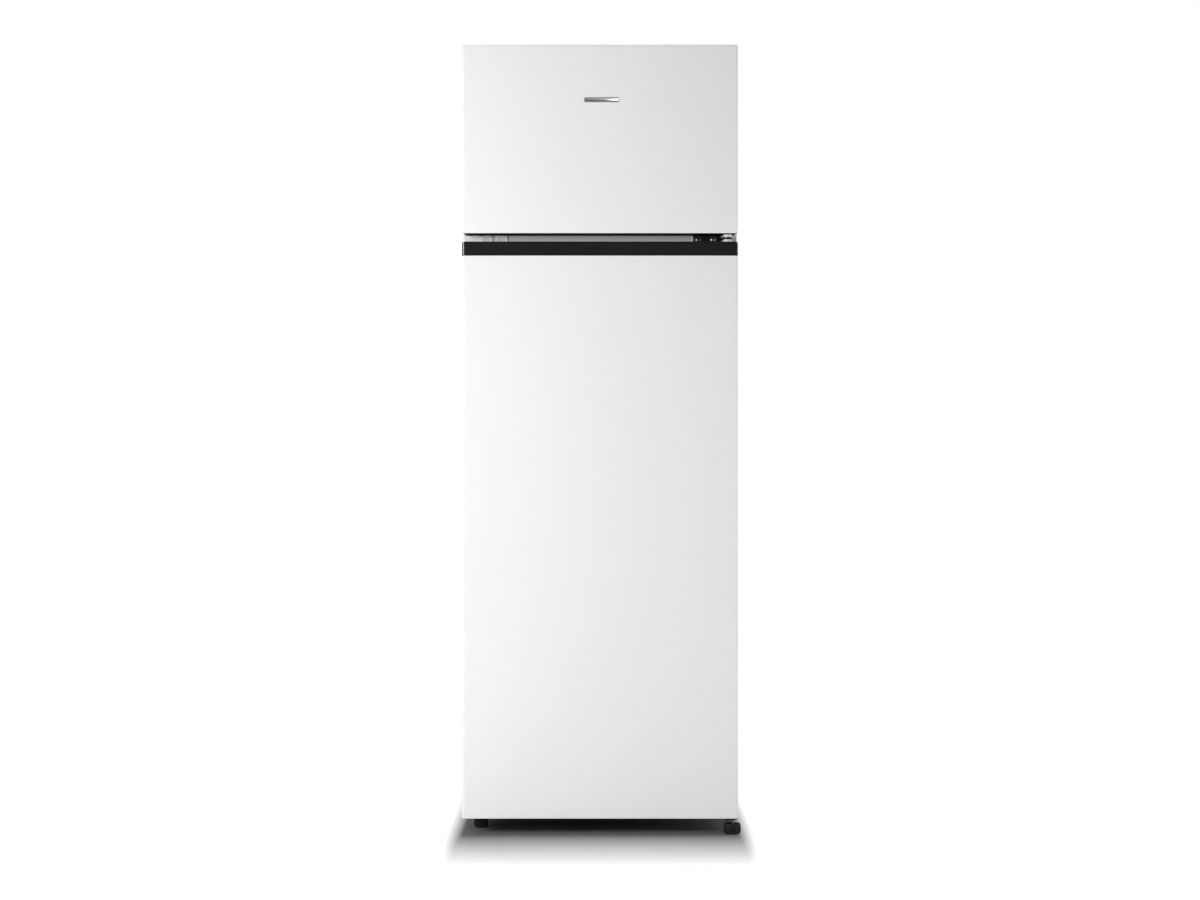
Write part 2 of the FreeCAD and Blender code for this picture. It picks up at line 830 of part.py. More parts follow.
def make_upper_hinge_cover():
    cover = Piece("upper_hinge_cover")
    low, high = "cabinet_top", "cabinet_top + hinge_cover_height"
    cover.add(
        "XY", low, high, rect("pin_x - 54", "cabinet_front + 5", "pin_x + 17", "cabinet_front + 76")
    )
    nose = [
        ("pin_x - 9.5", "pin_y - 5"),
        ("pin_x + 9.5", "pin_y + 5"),
        ("pin_x - 12", "cabinet_front + 8"),
        ("pin_x - 44", "cabinet_front + 8"),
    ]
    cover.add("XY", low, high, nose)
    cover.add("XY", low, high, ("pin_x", "pin_y", "21"))
    top = val("cabinet_top") + val("hinge_cover_height")
    corners = [val("cabinet_front") + 76]
    cover.round("8", along("z", x=(val("pin_x") - 54, val("pin_x") + 17), y=corners))
    cover.round("2.5", lambda edge: close(edge.BoundBox.ZMin, top) and close(edge.BoundBox.ZMax, top))
    hollow = "cabinet_top + hinge_cover_height - 2.2"
    cover.cut(
        "XY",
        low,
        hollow,
        rect("pin_x - 51.5", "cabinet_front + 7.5", "pin_x + 14.5", "cabinet_front + 73"),
    )
    nose_inside = [
        ("pin_x - 8", "pin_y - 3.5"),
        ("pin_x + 8", "pin_y + 3.5"),
        ("pin_x - 16", "cabinet_front + 8"),
        ("pin_x - 40", "cabinet_front + 8"),
    ]
    cover.cut("XY", low, hollow, nose_inside)
    cover.cut("XY", low, hollow, ("pin_x", "pin_y", "17"))


def make_middle_hinge():
    hinge = Piece("middle_hinge")
    low, high = "arm_middle - arm_plate / 2", "arm_middle + arm_plate / 2"
    plate_back = "cabinet_front"
    plate_front = "cabinet_front - hinge_plate"
    z_low, z_high = "arm_middle - mid_plate_height / 2", "arm_middle + mid_plate_height / 2"
    hinge.add(
        "XZ",
        plate_front,
        plate_back,
        rect("mid_plate_left", z_low, "mid_plate_left + mid_plate_width", z_high),
    )
    arm = [
        ("pin_x - 9", "pin_y"),
        ("pin_x + 9", "pin_y"),
        ("pin_x + 9", "cabinet_front - 8"),
        ("pin_x + 4", "cabinet_front"),
        ("pin_x - 20", "cabinet_front"),
        ("pin_x - 16", "cabinet_front - 14"),
    ]
    hinge.add("XY", low, high, arm)
    hinge.add("XY", low, high, ("pin_x", "pin_y", "18"))
    hinge.add("XY", high, f"{high} + pin_length", ("pin_x", "pin_y", "pin_diameter"))
    hinge.add("XY", f"{low} - pin_length", low, ("pin_x", "pin_y", "pin_diameter"))
    hinge.cut(
        "XZ",
        plate_front,
        plate_back,
        ("mid_plate_left + 9", "arm_middle", "6.4"),
        ("mid_plate_left + 9 + screw_pitch", "arm_middle", "6.4"),
    )


def make_lower_hinge():
    hinge = Piece("lower_hinge")
    low, high = "cabinet_bottom - hinge_plate", "cabinet_bottom"
    plate = [
        ("pin_x - 6", "pin_y"),
        ("pin_x - 6", "cabinet_front + 4"),
        ("pin_x - 70", "cabinet_front + 12"),
        ("pin_x - 70", "cabinet_front + 70"),
        ("pin_x + 14", "cabinet_front + 70"),
        ("pin_x + 19", "cabinet_front"),
        ("pin_x + 19", "pin_y - 4"),
        ("pin_x + 12", "pin_y - 9"),
        ("pin_x", "pin_y - 9"),
    ]
    hinge.add("XY", low, high, plate)
    hinge.add("XY", high, f"{high} + pin_length", ("pin_x", "pin_y", "pin_diameter"))
    hinge.add("XY", f"{low} - 1.6", low, ("pin_x - 1.5", "pin_y", "pin_diameter"))
    holes = [(f"pin_x + {u}", f"cabinet_front + {v}", "5") for u, v in LOWER_SCREWS]
    stud = ("foot_x", "foot_y", "stud_diameter + 2 * stud_clearance")
    hinge.cut("XY", low, high, stud, *holes)


def bush_shape(flange_low, flange_high, body_end):
    """A flanged bush round the hinge pin, its flange against the bracket."""
    body_start = flange_high if body_end > flange_high else flange_low
    low, high = min(body_start, body_end), max(body_start, body_end)
    flange = Part.makeCylinder(val("bush_flange") / 2, flange_high - flange_low, Vector(0, 0, flange_low))
    body = Part.makeCylinder(val("bush_diameter") / 2, high - low, Vector(0, 0, low))
    bore = Part.makeCylinder(
        val("pin_diameter") / 2 + val("pin_clearance"), 60, Vector(0, 0, min(low, flange_low) - 5)
    )
    return flange.fuse(body).cut(bore).removeSplitter()


def make_bushes():
    """The nylon bushes that the doors turn on: two in each door."""
    gap, depth = val("washer_gap"), val("bush_depth")
    arm_low = val("arm_middle") - val("arm_plate") / 2
    arm_high = val("arm_middle") + val("arm_plate") / 2
    place = {"base": (val("pin_x"), val("pin_y"), 0)}
    notch, freezer_low = val("notch_floor"), val("freezer_door_bottom")
    freezer = [
        bush_shape(notch, val("cabinet_top") - gap, notch - depth),
        bush_shape(arm_high + gap, freezer_low, freezer_low + depth),
    ]
    coded("freezer_door_bushes", Part.makeCompound(freezer), **place)
    top, bottom = val("fridge_door_top"), val("fridge_door_bottom")
    fridge = [
        bush_shape(top, arm_low - gap, top - depth),
        bush_shape(val("cabinet_bottom") + gap, bottom, bottom + depth),
    ]
    coded("fridge_door_bushes", Part.makeCompound(fridge), **place)


def bush_hole():
    return ("pin_x", "pin_y", "bush_diameter + 2 * bush_clearance")


def screw(head_diameter, head_height, shank_diameter, length):
    """A pan-head screw with a cross recess, its head's underside at the origin, pointing down."""
    radius = head_diameter / 2
    head = Part.makeCylinder(radius, head_height)
    rim = [edge for edge in head.Edges if close(edge.BoundBox.ZMin, head_height)]
    head = head.makeFillet(head_height * 0.45, rim)
    shank = Part.makeCylinder(shank_diameter / 2, length, Vector(0, 0, -length))
    body = head.fuse(shank)
    slot_long, slot_wide = head_diameter * 0.56, head_diameter * 0.14
    for size in ((slot_long, slot_wide), (slot_wide, slot_long)):
        corner = Vector(-size[0] / 2, -size[1] / 2, head_height * 0.45)
        body = body.cut(Part.makeBox(size[0], size[1], head_height, corner))
    return body


def turned_to(shape, place, direction):
    """A copy with its +Z turned to a direction and its origin at a place."""
    copy = shape.copy()
    copy.Placement = FreeCAD.Placement(place, FreeCAD.Rotation(Vector(0, 0, 1), direction))
    return copy


def make_zinc_screws():
    up, down, back = Vector(0, 0, 1), Vector(0, 0, -1), Vector(0, 1, 0)
    small = screw(8.5, 2.8, 4.2, 14)
    panel = screw(8, 2.4, 3.8, 9)
    front = val("cabinet_front")
    solids = []
    plate_top = val("cabinet_top") + val("hinge_plate")
    for u, v in UPPER_SCREWS:
        solids.append(turned_to(small, Vector(val("pin_x") + u, front + v, plate_top), up))
    plate_low = val("cabinet_bottom") - val("hinge_plate")
    for u, v in LOWER_SCREWS:
        solids.append(turned_to(small, Vector(val("pin_x") + u, front + v, plate_low), down))
    edge = val("inner_half") - 9
    rear = val("cabinet_back")
    rows = 6
    low, high = val("bay_roof") + 12, val("cabinet_top") - 16
    for x in both(edge):
        for k in range(rows):
            z = low + (high - low) * k / (rows - 1)
            solids.append(turned_to(panel, Vector(x, rear, z), back))
    bolt_top = val("cabinet_bottom") + val("base_sheet") + val("grommet_height") + 3.2
    bolt = screw(12, 4, 6, val("grommet_height") + 10)
    reach_x, reach_y = val("compressor_length") / 2 - 8, val("compressor_width") / 2 - 12
    for x in both(reach_x):
        for y in both(reach_y):
            place = Vector(val("compressor_x") + x, val("compressor_y") + y, bolt_top)
            solids.append(turned_to(bolt, place, up))
    coded("zinc_screws", Part.makeCompound(solids))


def make_black_screws():
    """The two flanged screws of the middle hinge."""
    flange = Part.makeCylinder(6.6, 1.4)
    body = screw(9.5, 4.2, 6, 16)
    body.translate(Vector(0, 0, 1.4))
    whole = body.fuse(flange)
    face = val("cabinet_front") - val("hinge_plate")
    first = val("mid_plate_left") + 9
    solids = [
        turned_to(whole, Vector(first + k * val("screw_pitch"), face, val("arm_middle")), Vector(0, -1, 0))
        for k in range(2)
    ]
    coded("black_screws", Part.makeCompound(solids))


def make_hole_plugs():
    """Plugs in the holes that the hinges would use on the left side."""
    radius, height = val("plug_diameter") / 2, val("plug_thickness")
    plug = Part.makeCylinder(radius, height)
    rim = [edge for edge in plug.Edges if close(edge.BoundBox.ZMin, height)]
    plug = plug.makeFillet(height * 0.6, rim)
    dimple = Part.makeCylinder(2.6, height, Vector(-5, 0, height * 0.4))
    plug = plug.cut(dimple)
    first = val("mid_plate_left") + 9
    solids = [
        turned_to(
            plug,
            Vector(-first - k * val("screw_pitch"), val("cabinet_front"), val("arm_middle")),
            Vector(0, -1, 0),
        )
        for k in range(2)
    ]
    small = Part.makeCylinder(5, 1.6)
    for u, v in UPPER_SCREWS:
        place = Vector(-val("pin_x") - u, val("cabinet_front") + v, val("cabinet_top"))
        solids.append(turned_to(small, place, Vector(0, 0, 1)))
    coded("hole_plugs", Part.makeCompound(solids))


# --------------------------------------------------------------------- doors


def door_skin(label, bottom, top, notch=False):
    """A folded steel door skin: its front and two sides, with rounded bends."""
    skin = Piece(label)
    skin.add("XY", bottom, top, rect("-half_width", "door_front", "half_width", "door_back"))
    skin.cut(
        "XY", bottom, top, rect("-inner_half", "door_front + sheet", "inner_half", "door_back + 1")
    )
    front, sheet = val("door_front"), val("sheet")
    inner_bend = along("z", x=both(val("inner_half")), y=(front + sheet,))
    skin.round("door_round - sheet", inner_bend)
    skin.round("door_round", along("z", x=both(val("half_width")), y=(front,)))
    if notch:
        skin.cut(
            "XY",
            "notch_floor",
            f"{top} + 1",
            rect("half_width - 3 * sheet", "door_front + notch_lip", "half_width + 1", "door_back + 1"),
        )
    return skin


def clip_corners(piece, level, way, half="half_width"):
    """Rounds the lower or upper two corners of a door piece, seen from the front."""
    piece.clip(-1, half, level, way)
    piece.clip(1, half, level, way)


def door_foam(label, bottom, top, dyke_half, dyke_low, dyke_high):
    """The door's insulation, with the rib that fills the liner's raised rim."""
    foam = Piece(label)
    rear = "door_back - liner_wall"
    foam.add("XY", bottom, top, rect("-inner_half", "door_front + sheet", "inner_half", rear))
    foam.round(
        "door_round - sheet",
        along("z", x=both(val("inner_half")), y=(val("door_front") + val("sheet"),)),
    )
    foam.add("XZ", rear, "dyke_back - liner_wall", *dyke_ring(dyke_half, dyke_low, dyke_high, "liner_wall"))


def dyke_ring(half, low, high, wall):
    """The outer and inner outlines of the liner's raised rim, less a wall."""
    outer = rect(
        f"-({half} - {wall})", f"{low} + {wall}", f"{half} - {wall}", f"{high} - {wall}"
    )
    inner = rect(
        f"-({half} - dyke_width + {wall})",
        f"{low} + dyke_width - {wall}",
        f"{half} - dyke_width + {wall}",
        f"{high} - dyke_width + {wall}",
    )
    return outer, inner


def door_liner(label, bottom, top, dyke_half, dyke_low, dyke_high):
    """The moulded inner face of a door, with a raised rim round its racks."""
    liner = Piece(label)
    rear = "door_back - liner_wall"
    liner.add("XZ", rear, "door_back", rect("-inner_half", bottom, "inner_half", top))
    outer, inner = dyke_ring(dyke_half, dyke_low, dyke_high, "0")
    liner.add("XZ", rear, "dyke_back", outer, inner)
    DOC.recompute()
    back = val("dyke_back")

    def crest(edge):
        return close(edge.BoundBox.YMin, back) and close(edge.BoundBox.YMax, back)

    liner.cut("XZ", rear, "dyke_back - liner_wall", *dyke_ring(dyke_half, dyke_low, dyke_high, "liner_wall"))
    liner.round("1.6", crest)


def door_gasket(label, low, high):
    """The magnetic seal: a base in the liner's edge and a wider hollow lip."""
    gasket = Piece(label)
    half = "(half_width - seal_inset)"
    middle = "door_back + 4"
    rear = "cabinet_front - seal_free"
    base_outer = rect(f"-({half} - 3)", f"{low} + 3", f"{half} - 3", f"{high} - 3")
    base_inner = rect(
        f"-({half} - seal_width + 3)",
        f"{low} + seal_width - 3",
        f"{half} - seal_width + 3",
        f"{high} - seal_width + 3",
    )
    gasket.add("XZ", "door_back", middle, base_outer, base_inner)
    outer = rect(f"-{half}", low, half, high)
    inner = rect(
        f"-({half} - seal_width)", f"{low} + seal_width", f"{half} - seal_width", f"{high} - seal_width"
    )
    gasket.add("XZ", middle, rear, outer, inner)
    back = val("cabinet_front") - val("seal_free")

    def crest(edge):
        return close(edge.BoundBox.YMin, back) and close(edge.BoundBox.YMax, back)

    gasket.round("1.5", crest)


def make_freezer_door():
    top, bottom = "freezer_door_top", "freezer_door_bottom"
    skin = door_skin("freezer_door_skin", bottom, f"{top} - cap_lip", notch=True)
    clip_corners(skin, bottom, 1)
    half, inner = val("half_width"), val("inner_half")
    front, sheet = val("door_front"), val("sheet")

    cap = Piece("freezer_door_top_cap")
    body_top = f"{top} - cap_lip"
    cap.add(
        "XY",
        f"{top} - cap_depth",
        body_top,
        rect("-inner_half", "door_front + sheet", "inner_half", "door_back"),
    )
    cap.round("door_round - sheet", along("z", x=both(inner), y=(front + sheet,)))
    cap.add("XY", body_top, top, rect("-half_width", "door_front", "half_width", "door_back"))
    cap.round("door_round", along("z", x=both(half), y=(front,)))
    z_top = val(top)
    cap.round("edge_round", lambda e: close(e.BoundBox.ZMin, z_top) and close(e.BoundBox.ZMax, z_top))
    cap.cut(
        "XY",
        "notch_floor",
        f"{top} + 1",
        rect("half_width - notch_length", "door_front + notch_lip", "half_width + 1", "door_back + 1"),
    )
    cap.cut("XY", "notch_floor - bush_depth - 1", "notch_floor", bush_hole())

    low_cap = Piece("freezer_door_bottom_cap")
    low_cap.add(
        "XY",
        bottom,
        f"{bottom} + cap_depth",
        rect("-inner_half", "door_front + sheet", "inner_half", "door_back"),
    )
    low_cap.round("door_round - sheet", along("z", x=both(inner), y=(front + sheet,)))
    clip_corners(low_cap, bottom, 1, "inner_half")
    low_cap.cut(
        "XY",
        bottom,
        f"{bottom} + grip_depth",
        rect(
            "-(half_width - grip_end)",
            "door_front + grip_lip",
            "half_width - grip_hinge_end",
            "door_front + grip_lip + grip_width",
        ),
    )
    low_cap.cut("XY", bottom, f"{bottom} + cap_depth", bush_hole())

    low, high = f"{bottom} + cap_depth", f"{top} - cap_depth"
    dyke = ("freezer_dyke", "freezer_floor + dyke_end_margin", "freezer_ceiling - dyke_end_margin")
    door_foam("freezer_door_foam", low, high, *dyke)
    door_liner("freezer_door_liner", low, high, *dyke)
    door_gasket("freezer_door_gasket", f"{bottom} + 8", "cabinet_top - 8")


def make_fridge_door():
    top, bottom = "fridge_door_top", "fridge_door_bottom"
    door_skin("fridge_door_skin", f"{bottom} + cap_lip", "handle_bottom")
    half, inner = val("half_width"), val("inner_half")
    front, sheet = val("door_front"), val("sheet")

    cap = Piece("handle_cap")
    cap.add(
        "XY",
        "handle_bottom - skirt",
        "handle_bottom",
        rect("-inner_half", "door_front + sheet", "inner_half", "door_back"),
    )
    cap.round("door_round - sheet", along("z", x=both(inner), y=(front + sheet,)))
    cap.add(
        "XY", "handle_bottom", top, rect("-half_width", "door_front", "half_width", "door_back")
    )
    cap.round("door_round", along("z", x=both(half), y=(front,)))
    clip_corners(cap, top, -1)
    cap.cut(
        "XY",
        f"{top} - grip_depth",
        top,
        rect(
            "-(half_width - grip_end)",
            "door_front + grip_lip",
            "half_width - grip_hinge_end",
            "door_front + grip_lip + grip_width",
        ),
    )
    cap.cut("XY", f"{top} - bush_depth - 2", top, bush_hole())

    base = Piece("fridge_door_bottom_cap")
    base.add(
        "XY",
        f"{bottom} + cap_lip",
        f"{bottom} + cap_depth",
        rect("-inner_half", "door_front + sheet", "inner_half", "door_back"),
    )
    base.round("door_round - sheet", along("z", x=both(inner), y=(front + sheet,)))
    plate = rect("-half_width", "door_front", "half_width", "door_back")
    base.add("XY", bottom, f"{bottom} + cap_lip", plate)
    base.round("door_round", along("z", x=both(half), y=(front,)))
    z_low = val(bottom)
    base.round("edge_round", lambda e: close(e.BoundBox.ZMin, z_low) and close(e.BoundBox.ZMax, z_low))
    base.cut("XY", bottom, f"{bottom} + bush_depth + 2", bush_hole())

    low, high = f"{bottom} + cap_depth", "handle_bottom - skirt"
    dyke = ("fridge_dyke", "fridge_floor + dyke_end_margin", "mullion_bottom - dyke_end_margin")
    door_foam("fridge_door_foam", low, high, *dyke)
    door_liner("fridge_door_liner", low, high, *dyke)
    door_gasket("fridge_door_gasket", f"{bottom} + 8", f"{top} - 14")


def door_rack(label, dyke_half, bottoms, height, depth, front_height):
    """Open bins that hang between the door's ribs, lower at the front."""
    rack = Piece(label)
    half = f"({dyke_half} - dyke_width - rack_side_gap)"
    near, far = "door_back + 0.5", f"door_back + {depth}"
    for bottom in bottoms:
        rack.add("XY", bottom, f"{bottom} + {height}", rect(f"-{half}", near, half, far))
    reach = val("door_back") + val(depth)
    side = val(dyke_half) - val("dyke_width") - val("rack_side_gap")
    for bottom in bottoms:
        rack.cut(
            "XY",
            f"{bottom} + rack_wall",
            f"{bottom} + {height} + 1",
            rect(
                f"-({half} - rack_wall)",
                f"{near} + rack_wall",
                f"{half} - rack_wall",
                f"{far} - rack_wall",
            ),
        )
        rack.cut(
            "XZ",
            "dyke_back + 6",
            f"{far} + 1",
            [
                (f"-({half} + 1)", f"{bottom} + {height} + 1"),
                (f"-({half} + 1)", f"{bottom} + {front_height}"),
                (f"{half} + 1", f"{bottom} + {front_height}"),
                (f"{half} + 1", f"{bottom} + {height} + 1"),
            ],
        )
    inner = side - val("rack_wall")
    rack.round("9 - rack_wall", along("z", x=both(inner), y=(reach - val("rack_wall"),)))
    rack.round("9", along("z", x=both(side), y=(reach,)))


def make_racks():
    for shelf in ("upper", "middle"):
        door_rack(
            f"door_rack_{shelf}",
            "fridge_dyke",
            [f"{shelf}_rack_bottom"],
            "rack_height",
            "rack_depth",
            "rack_front_height",
        )
    door_rack(
        "bottle_rack",
        "fridge_dyke",
        ["bottle_rack_bottom"],
        "bottle_rack_height",
        "bottle_rack_depth",
        "bottle_rack_height - 20",
    )
    door_rack(
        "freezer_door_racks",
        "freezer_dyke",
        ["freezer_rack_low", "freezer_rack_high"],
        "freezer_rack_height",
        "freezer_rack_depth",
        "freezer_rack_height - 10",
    )


def make_egg_tray():
    tray = Piece("egg_tray")
    low = "upper_rack_bottom + rack_wall"
    near = "door_back + 7"
    tray.add("XY", low, f"{low} + 24", rect("-165", near, "-12", f"{near} + 76"))
    tray.round("6", along("z", x=(-165, -12)))
    cups = [
        (f"{-165 + 25 + 34.3 * column}", f"{near} + {21 + 34 * row}", "31")
        for column in range(4)
        for row in range(2)
    ]
    tray.cut("XY", f"{low} + 5", f"{low} + 24", *cups)


def make_badge():
    badge = Piece("badge")
    badge.add(
        "XZ",
        "door_front - badge_thickness",
        "door_front",
        rect(
            "badge_x - badge_width / 2",
            "badge_z - badge_height / 2",
            "badge_x + badge_width / 2",
            "badge_z + badge_height / 2",
        ),
    )
    badge.round("3", along("y"))


# ------------------------------------------------------------ fridge interior


def make_glass_shelves():
    shelves = Piece("glass_shelves")
    for level in (0, 2, 4):
        z = f"ledge_first + {level} * ledge_pitch"
        shelves.add(
            "XY", z, f"{z} + shelf_glass", rect("-shelf_half", "shelf_front", "shelf_half", "shelf_rear")
        )


def make_crisper_lid():
    lid = Piece("crisper_lid")
    z = "crisper_lid_height"
    lid.add(
        "XY", z, f"{z} + shelf_glass", rect("-shelf_half", "shelf_front", "shelf_half", "shelf_rear")
    )


def make_freezer_shelf():
    shelf = Piece("freezer_shelf")
    z = "freezer_shelf_z"
    shelf.add(
        "XY",
        z,
        f"{z} + shelf_glass",
        rect(
            "-freezer_shelf_half",
            "cabinet_front + 82",
            "freezer_shelf_half",
            "freezer_rear - liner_wall - 10",
        ),
    )


def make_shelf_trims():
    """Plastic edges that grip the front and the back of each glass shelf."""
    trims = Piece("shelf_trims")
    levels = [
        (f"ledge_first + {k} * ledge_pitch", "shelf_half", "shelf_front", "shelf_rear") for k in (0, 2, 4)
    ]
    levels.append(("crisper_lid_height", "shelf_half", "shelf_front", "shelf_rear"))
    freezer_rear = "freezer_rear - liner_wall - 10"
    levels.append(("freezer_shelf_z", "freezer_shelf_half", "cabinet_front + 82", freezer_rear))
    for z, half, front, rear in levels:
        cap_front = [
            (f"{front} - 3", f"{z} - 6"),
            (f"{front} + shelf_trim", f"{z} - 6"),
            (f"{front} + shelf_trim", f"{z}"),
            (front, z),
            (front, f"{z} + shelf_glass"),
            (f"{front} + 6", f"{z} + shelf_glass"),
            (f"{front} + 4", f"{z} + shelf_glass + 2"),
            (f"{front} - 3", f"{z} + shelf_glass + 2"),
        ]
        width = f"({half} - ledge_width - 2)"
        trims.add("YZ", f"-{width}", width, cap_front)
        cap_rear = [
            (f"{rear} - shelf_trim", f"{z} - 4"),
            (f"{rear} + 3", f"{z} - 4"),
            (f"{rear} + 3", f"{z} + 20"),
            (rear, f"{z} + 20"),
            (rear, z),
            (f"{rear} - shelf_trim", z),
        ]
        narrow = f"({half} - liner_round - 2)"
        trims.add("YZ", f"-{narrow}", narrow, cap_rear)


def make_crisper_drawer():
    drawer = Piece("crisper_drawer")
    half = "(shelf_half - ledge_width - 3)"
    low = "fridge_floor + liner_wall + crisper_gap"
    high = "crisper_lid_height - 12"
    front = "shelf_front + 14"
    rear_low = "step_front - liner_wall - 8"
    rear_high = f"{rear_low} + crisper_slope"
    outer = [(front, low), (rear_low, low), (rear_high, high), (front, high)]
    drawer.add("YZ", f"-{half}", half, outer)
    side = val("shelf_half") - val("ledge_width") - 3
    face = val("shelf_front") + 14
    drawer.round("8", along("z", x=both(side), y=(face,)))
    wall = "crisper_wall"
    inner = [
        (f"{front} + {wall}", f"{low} + {wall}"),
        (f"{rear_low} - {wall}", f"{low} + {wall}"),
        (f"{rear_high} - {wall} + 0.1", f"{high} + 1"),
        (f"{front} + {wall}", f"{high} + 1"),
    ]
    drawer.cut("YZ", f"-({half} - {wall})", f"{half} - {wall}", inner)
    drawer.add(
        "XY",
        f"{high} - 6",
        high,
        [
            (f"-({half} - 40)", f"{front} - 7"),
            (f"{half} - 40", f"{front} - 7"),
            (f"{half} - 28", f"{front} + 1"),
            (f"-({half} - 28)", f"{front} + 1"),
        ],
    )


def make_control_box():
    housing = Piece("control_housing")
    ceiling = "mullion_bottom - liner_wall"
    rear = "control_y + control_depth"
    outer = [
        ("control_y", ceiling),
        ("control_y", "control_z + 4"),
        ("control_y + 4", "control_z"),
        (f"{rear} - control_chamfer", "control_z"),
        (rear, "control_z + control_chamfer"),
        (rear, ceiling),
    ]
    housing.add("YZ", "-control_left", "control_right", outer)
    inner = [
        ("control_y + control_wall", f"{ceiling} + 1"),
        ("control_y + control_wall", "control_z + 5"),
        ("control_y + 6", "control_z + control_wall"),
        (f"{rear} - control_chamfer", "control_z + control_wall"),
        (f"{rear} - control_wall", "control_z + control_chamfer"),
        (f"{rear} - control_wall", f"{ceiling} + 1"),
    ]
    housing.cut("YZ", "-(control_left - control_wall)", "control_right - control_wall", inner)
    housing.cut(
        "XZ",
        "control_y - 1",
        "control_y + control_wall",
        ("knob_x", "knob_z", "knob_shaft + 0.6"),
        ("switch_x", "knob_z", "switch_diameter + 2 * switch_clearance"),
    )

    knob = Piece("thermostat_knob")
    knob.revolve(
        [
            ("0", "0"),
            ("knob_shaft / 2", "0"),
            ("knob_shaft / 2", "8"),
            ("knob_diameter / 2", "8"),
            ("knob_diameter / 2", "8 + 3"),
            ("knob_diameter / 2 - 2", "8 + knob_height - 1"),
            ("knob_diameter / 2 - 3", "8 + knob_height"),
            ("0", "8 + knob_height"),
        ]
    )
    grip = knob.cut(
        "XY",
        "8 + 4",
        "8 + knob_height",
        ("knob_diameter / 2 + 1", "0", "5"),
    )
    knob.ring(grip, 14)
    knob.body.Placement = FreeCAD.Placement(Vector(), FreeCAD.Rotation(Vector(1, 0, 0), 90))
    knob.place(x="knob_x", y="control_y + 8 - 0.4", z="knob_z")

    switch = Piece("light_switch")
    tip = "dyke_back + switch_clearance"
    switch.add("XZ", tip, "control_y + 14", ("switch_x", "knob_z", "switch_diameter"))
    switch.add("XZ", "control_y + 12", "control_y + 15", ("switch_x", "knob_z", "switch_diameter + 4"))
    tip_y = val("dyke_back") + val("switch_clearance")
    switch.round("1.6", lambda e: close(e.BoundBox.YMin, tip_y) and close(e.BoundBox.YMax, tip_y))

    lens = Piece("light_lens")
    lens_front = "control_y + 26"
    lens.add(
        "XY",
        "control_z - lens_height",
        "control_z",
        rect(
            "-control_left + 18",
            lens_front,
            "-control_left + 18 + lens_width",
            f"{lens_front} + lens_length",
        ),
    )
    low = val("control_z") - val("lens_height")
    lens.round("8", along("z"))
    lens.round("3", lambda e: close(e.BoundBox.ZMin, low) and close(e.BoundBox.ZMax, low))


def make_ice_tray():
    tray = Piece("ice_tray")
    low = "freezer_shelf_z + shelf_glass + 0.2"
    x0, y0 = 60, "cabinet_front + 118"
    columns, rows, cell, wall = 5, 2, 24, 3
    width, depth = columns * (cell + wall) + wall, rows * (cell + 20 + wall) + wall
    tray.add("XY", low, f"{low} + 30", rect(f"{x0}", y0, f"{x0 + width}", f"{y0} + {depth}"))
    tray.round("5", along("z"))
    cells = []
    for column in range(columns):
        for row in range(rows):
            x = x0 + wall + column * (cell + wall)
            y = wall + row * (cell + 20 + wall)
            cells.append(rect(f"{x}", f"{y0} + {y}", f"{x + cell}", f"{y0} + {y + cell + 20}"))
    pocket = tray.cut("XY", f"{low} + 4", f"{low} + 30", *cells)
    pocket.TaperAngle = -7
    DOC.recompute()


# ------------------------------------------------------- feet, rollers, bay


def make_feet():
    right = Piece("foot_right")
    right.revolve(
        [
            ("0", "0"),
            ("foot_diameter / 2 - 3.5", "0"),
            ("foot_diameter / 2 - 1", "1.4"),
            ("foot_diameter / 2", "4"),
            ("foot_diameter / 2", "foot_height - 4"),
            ("foot_diameter / 2 - 3", "foot_height"),
            ("stud_diameter / 2", "foot_height"),
            ("stud_diameter / 2", "cabinet_bottom + 0.1"),
            ("0", "cabinet_bottom + 0.1"),
        ]
    )
    scallop = right.cut(
        "XY", "4", "foot_height", ("foot_diameter / 2 + 1.2", "0", "5")
    )
    right.ring(scallop, 16)
    right.place(x="foot_x", y="foot_y")

    left = Piece("foot_left")
    left.revolve(
        [
            ("0", "0"),
            ("left_foot_diameter / 2 - 4", "0"),
            ("left_foot_diameter / 2 - 1.2", "1.4"),
            ("left_foot_diameter / 2", "4.5"),
            ("left_foot_diameter / 2", "cabinet_bottom - 1"),
            ("stud_diameter / 2", "cabinet_bottom - 1"),
            ("stud_diameter / 2", "cabinet_bottom + 20"),
            ("0", "cabinet_bottom + 20"),
        ]
    )
    left.place(x="-left_foot_x", y="left_foot_y")


def make_rollers():
    for label, sign in (("roller_left", "-"), ("roller_right", "")):
        roller = Piece(label)
        centre = f"{sign}roller_x"
        wheel = ("roller_y", "roller_diameter / 2", "roller_diameter")
        bore = ("roller_y", "roller_diameter / 2", "axle_diameter + 0.3")
        low, high = f"{centre} - roller_width / 2", f"{centre} + roller_width / 2"
        roller.add("YZ", low, high, wheel, bore)
        size = val("roller_diameter")
        roller.round(
            "2", lambda e: close(e.BoundBox.ZLength, size, 0.2) and close(e.BoundBox.XLength, 0)
        )
    axle = Part.makeCylinder(val("axle_diameter") / 2, val("roller_width") + 12, Vector(), Vector(1, 0, 0))
    head = Part.makeCylinder(val("axle_diameter") / 2 + 1.6, 1.6, Vector(-1.6, 0, 0), Vector(1, 0, 0))
    pin = axle.fuse(head)
    solids = []
    for side in (-1, 1):
        copy = pin.copy()
        x = side * val("roller_x") - val("roller_width") / 2 - 1 - val("base_sheet")
        copy.translate(Vector(x, val("roller_y"), val("roller_diameter") / 2))
        solids.append(copy)
    coded("roller_axles", Part.makeCompound(solids))


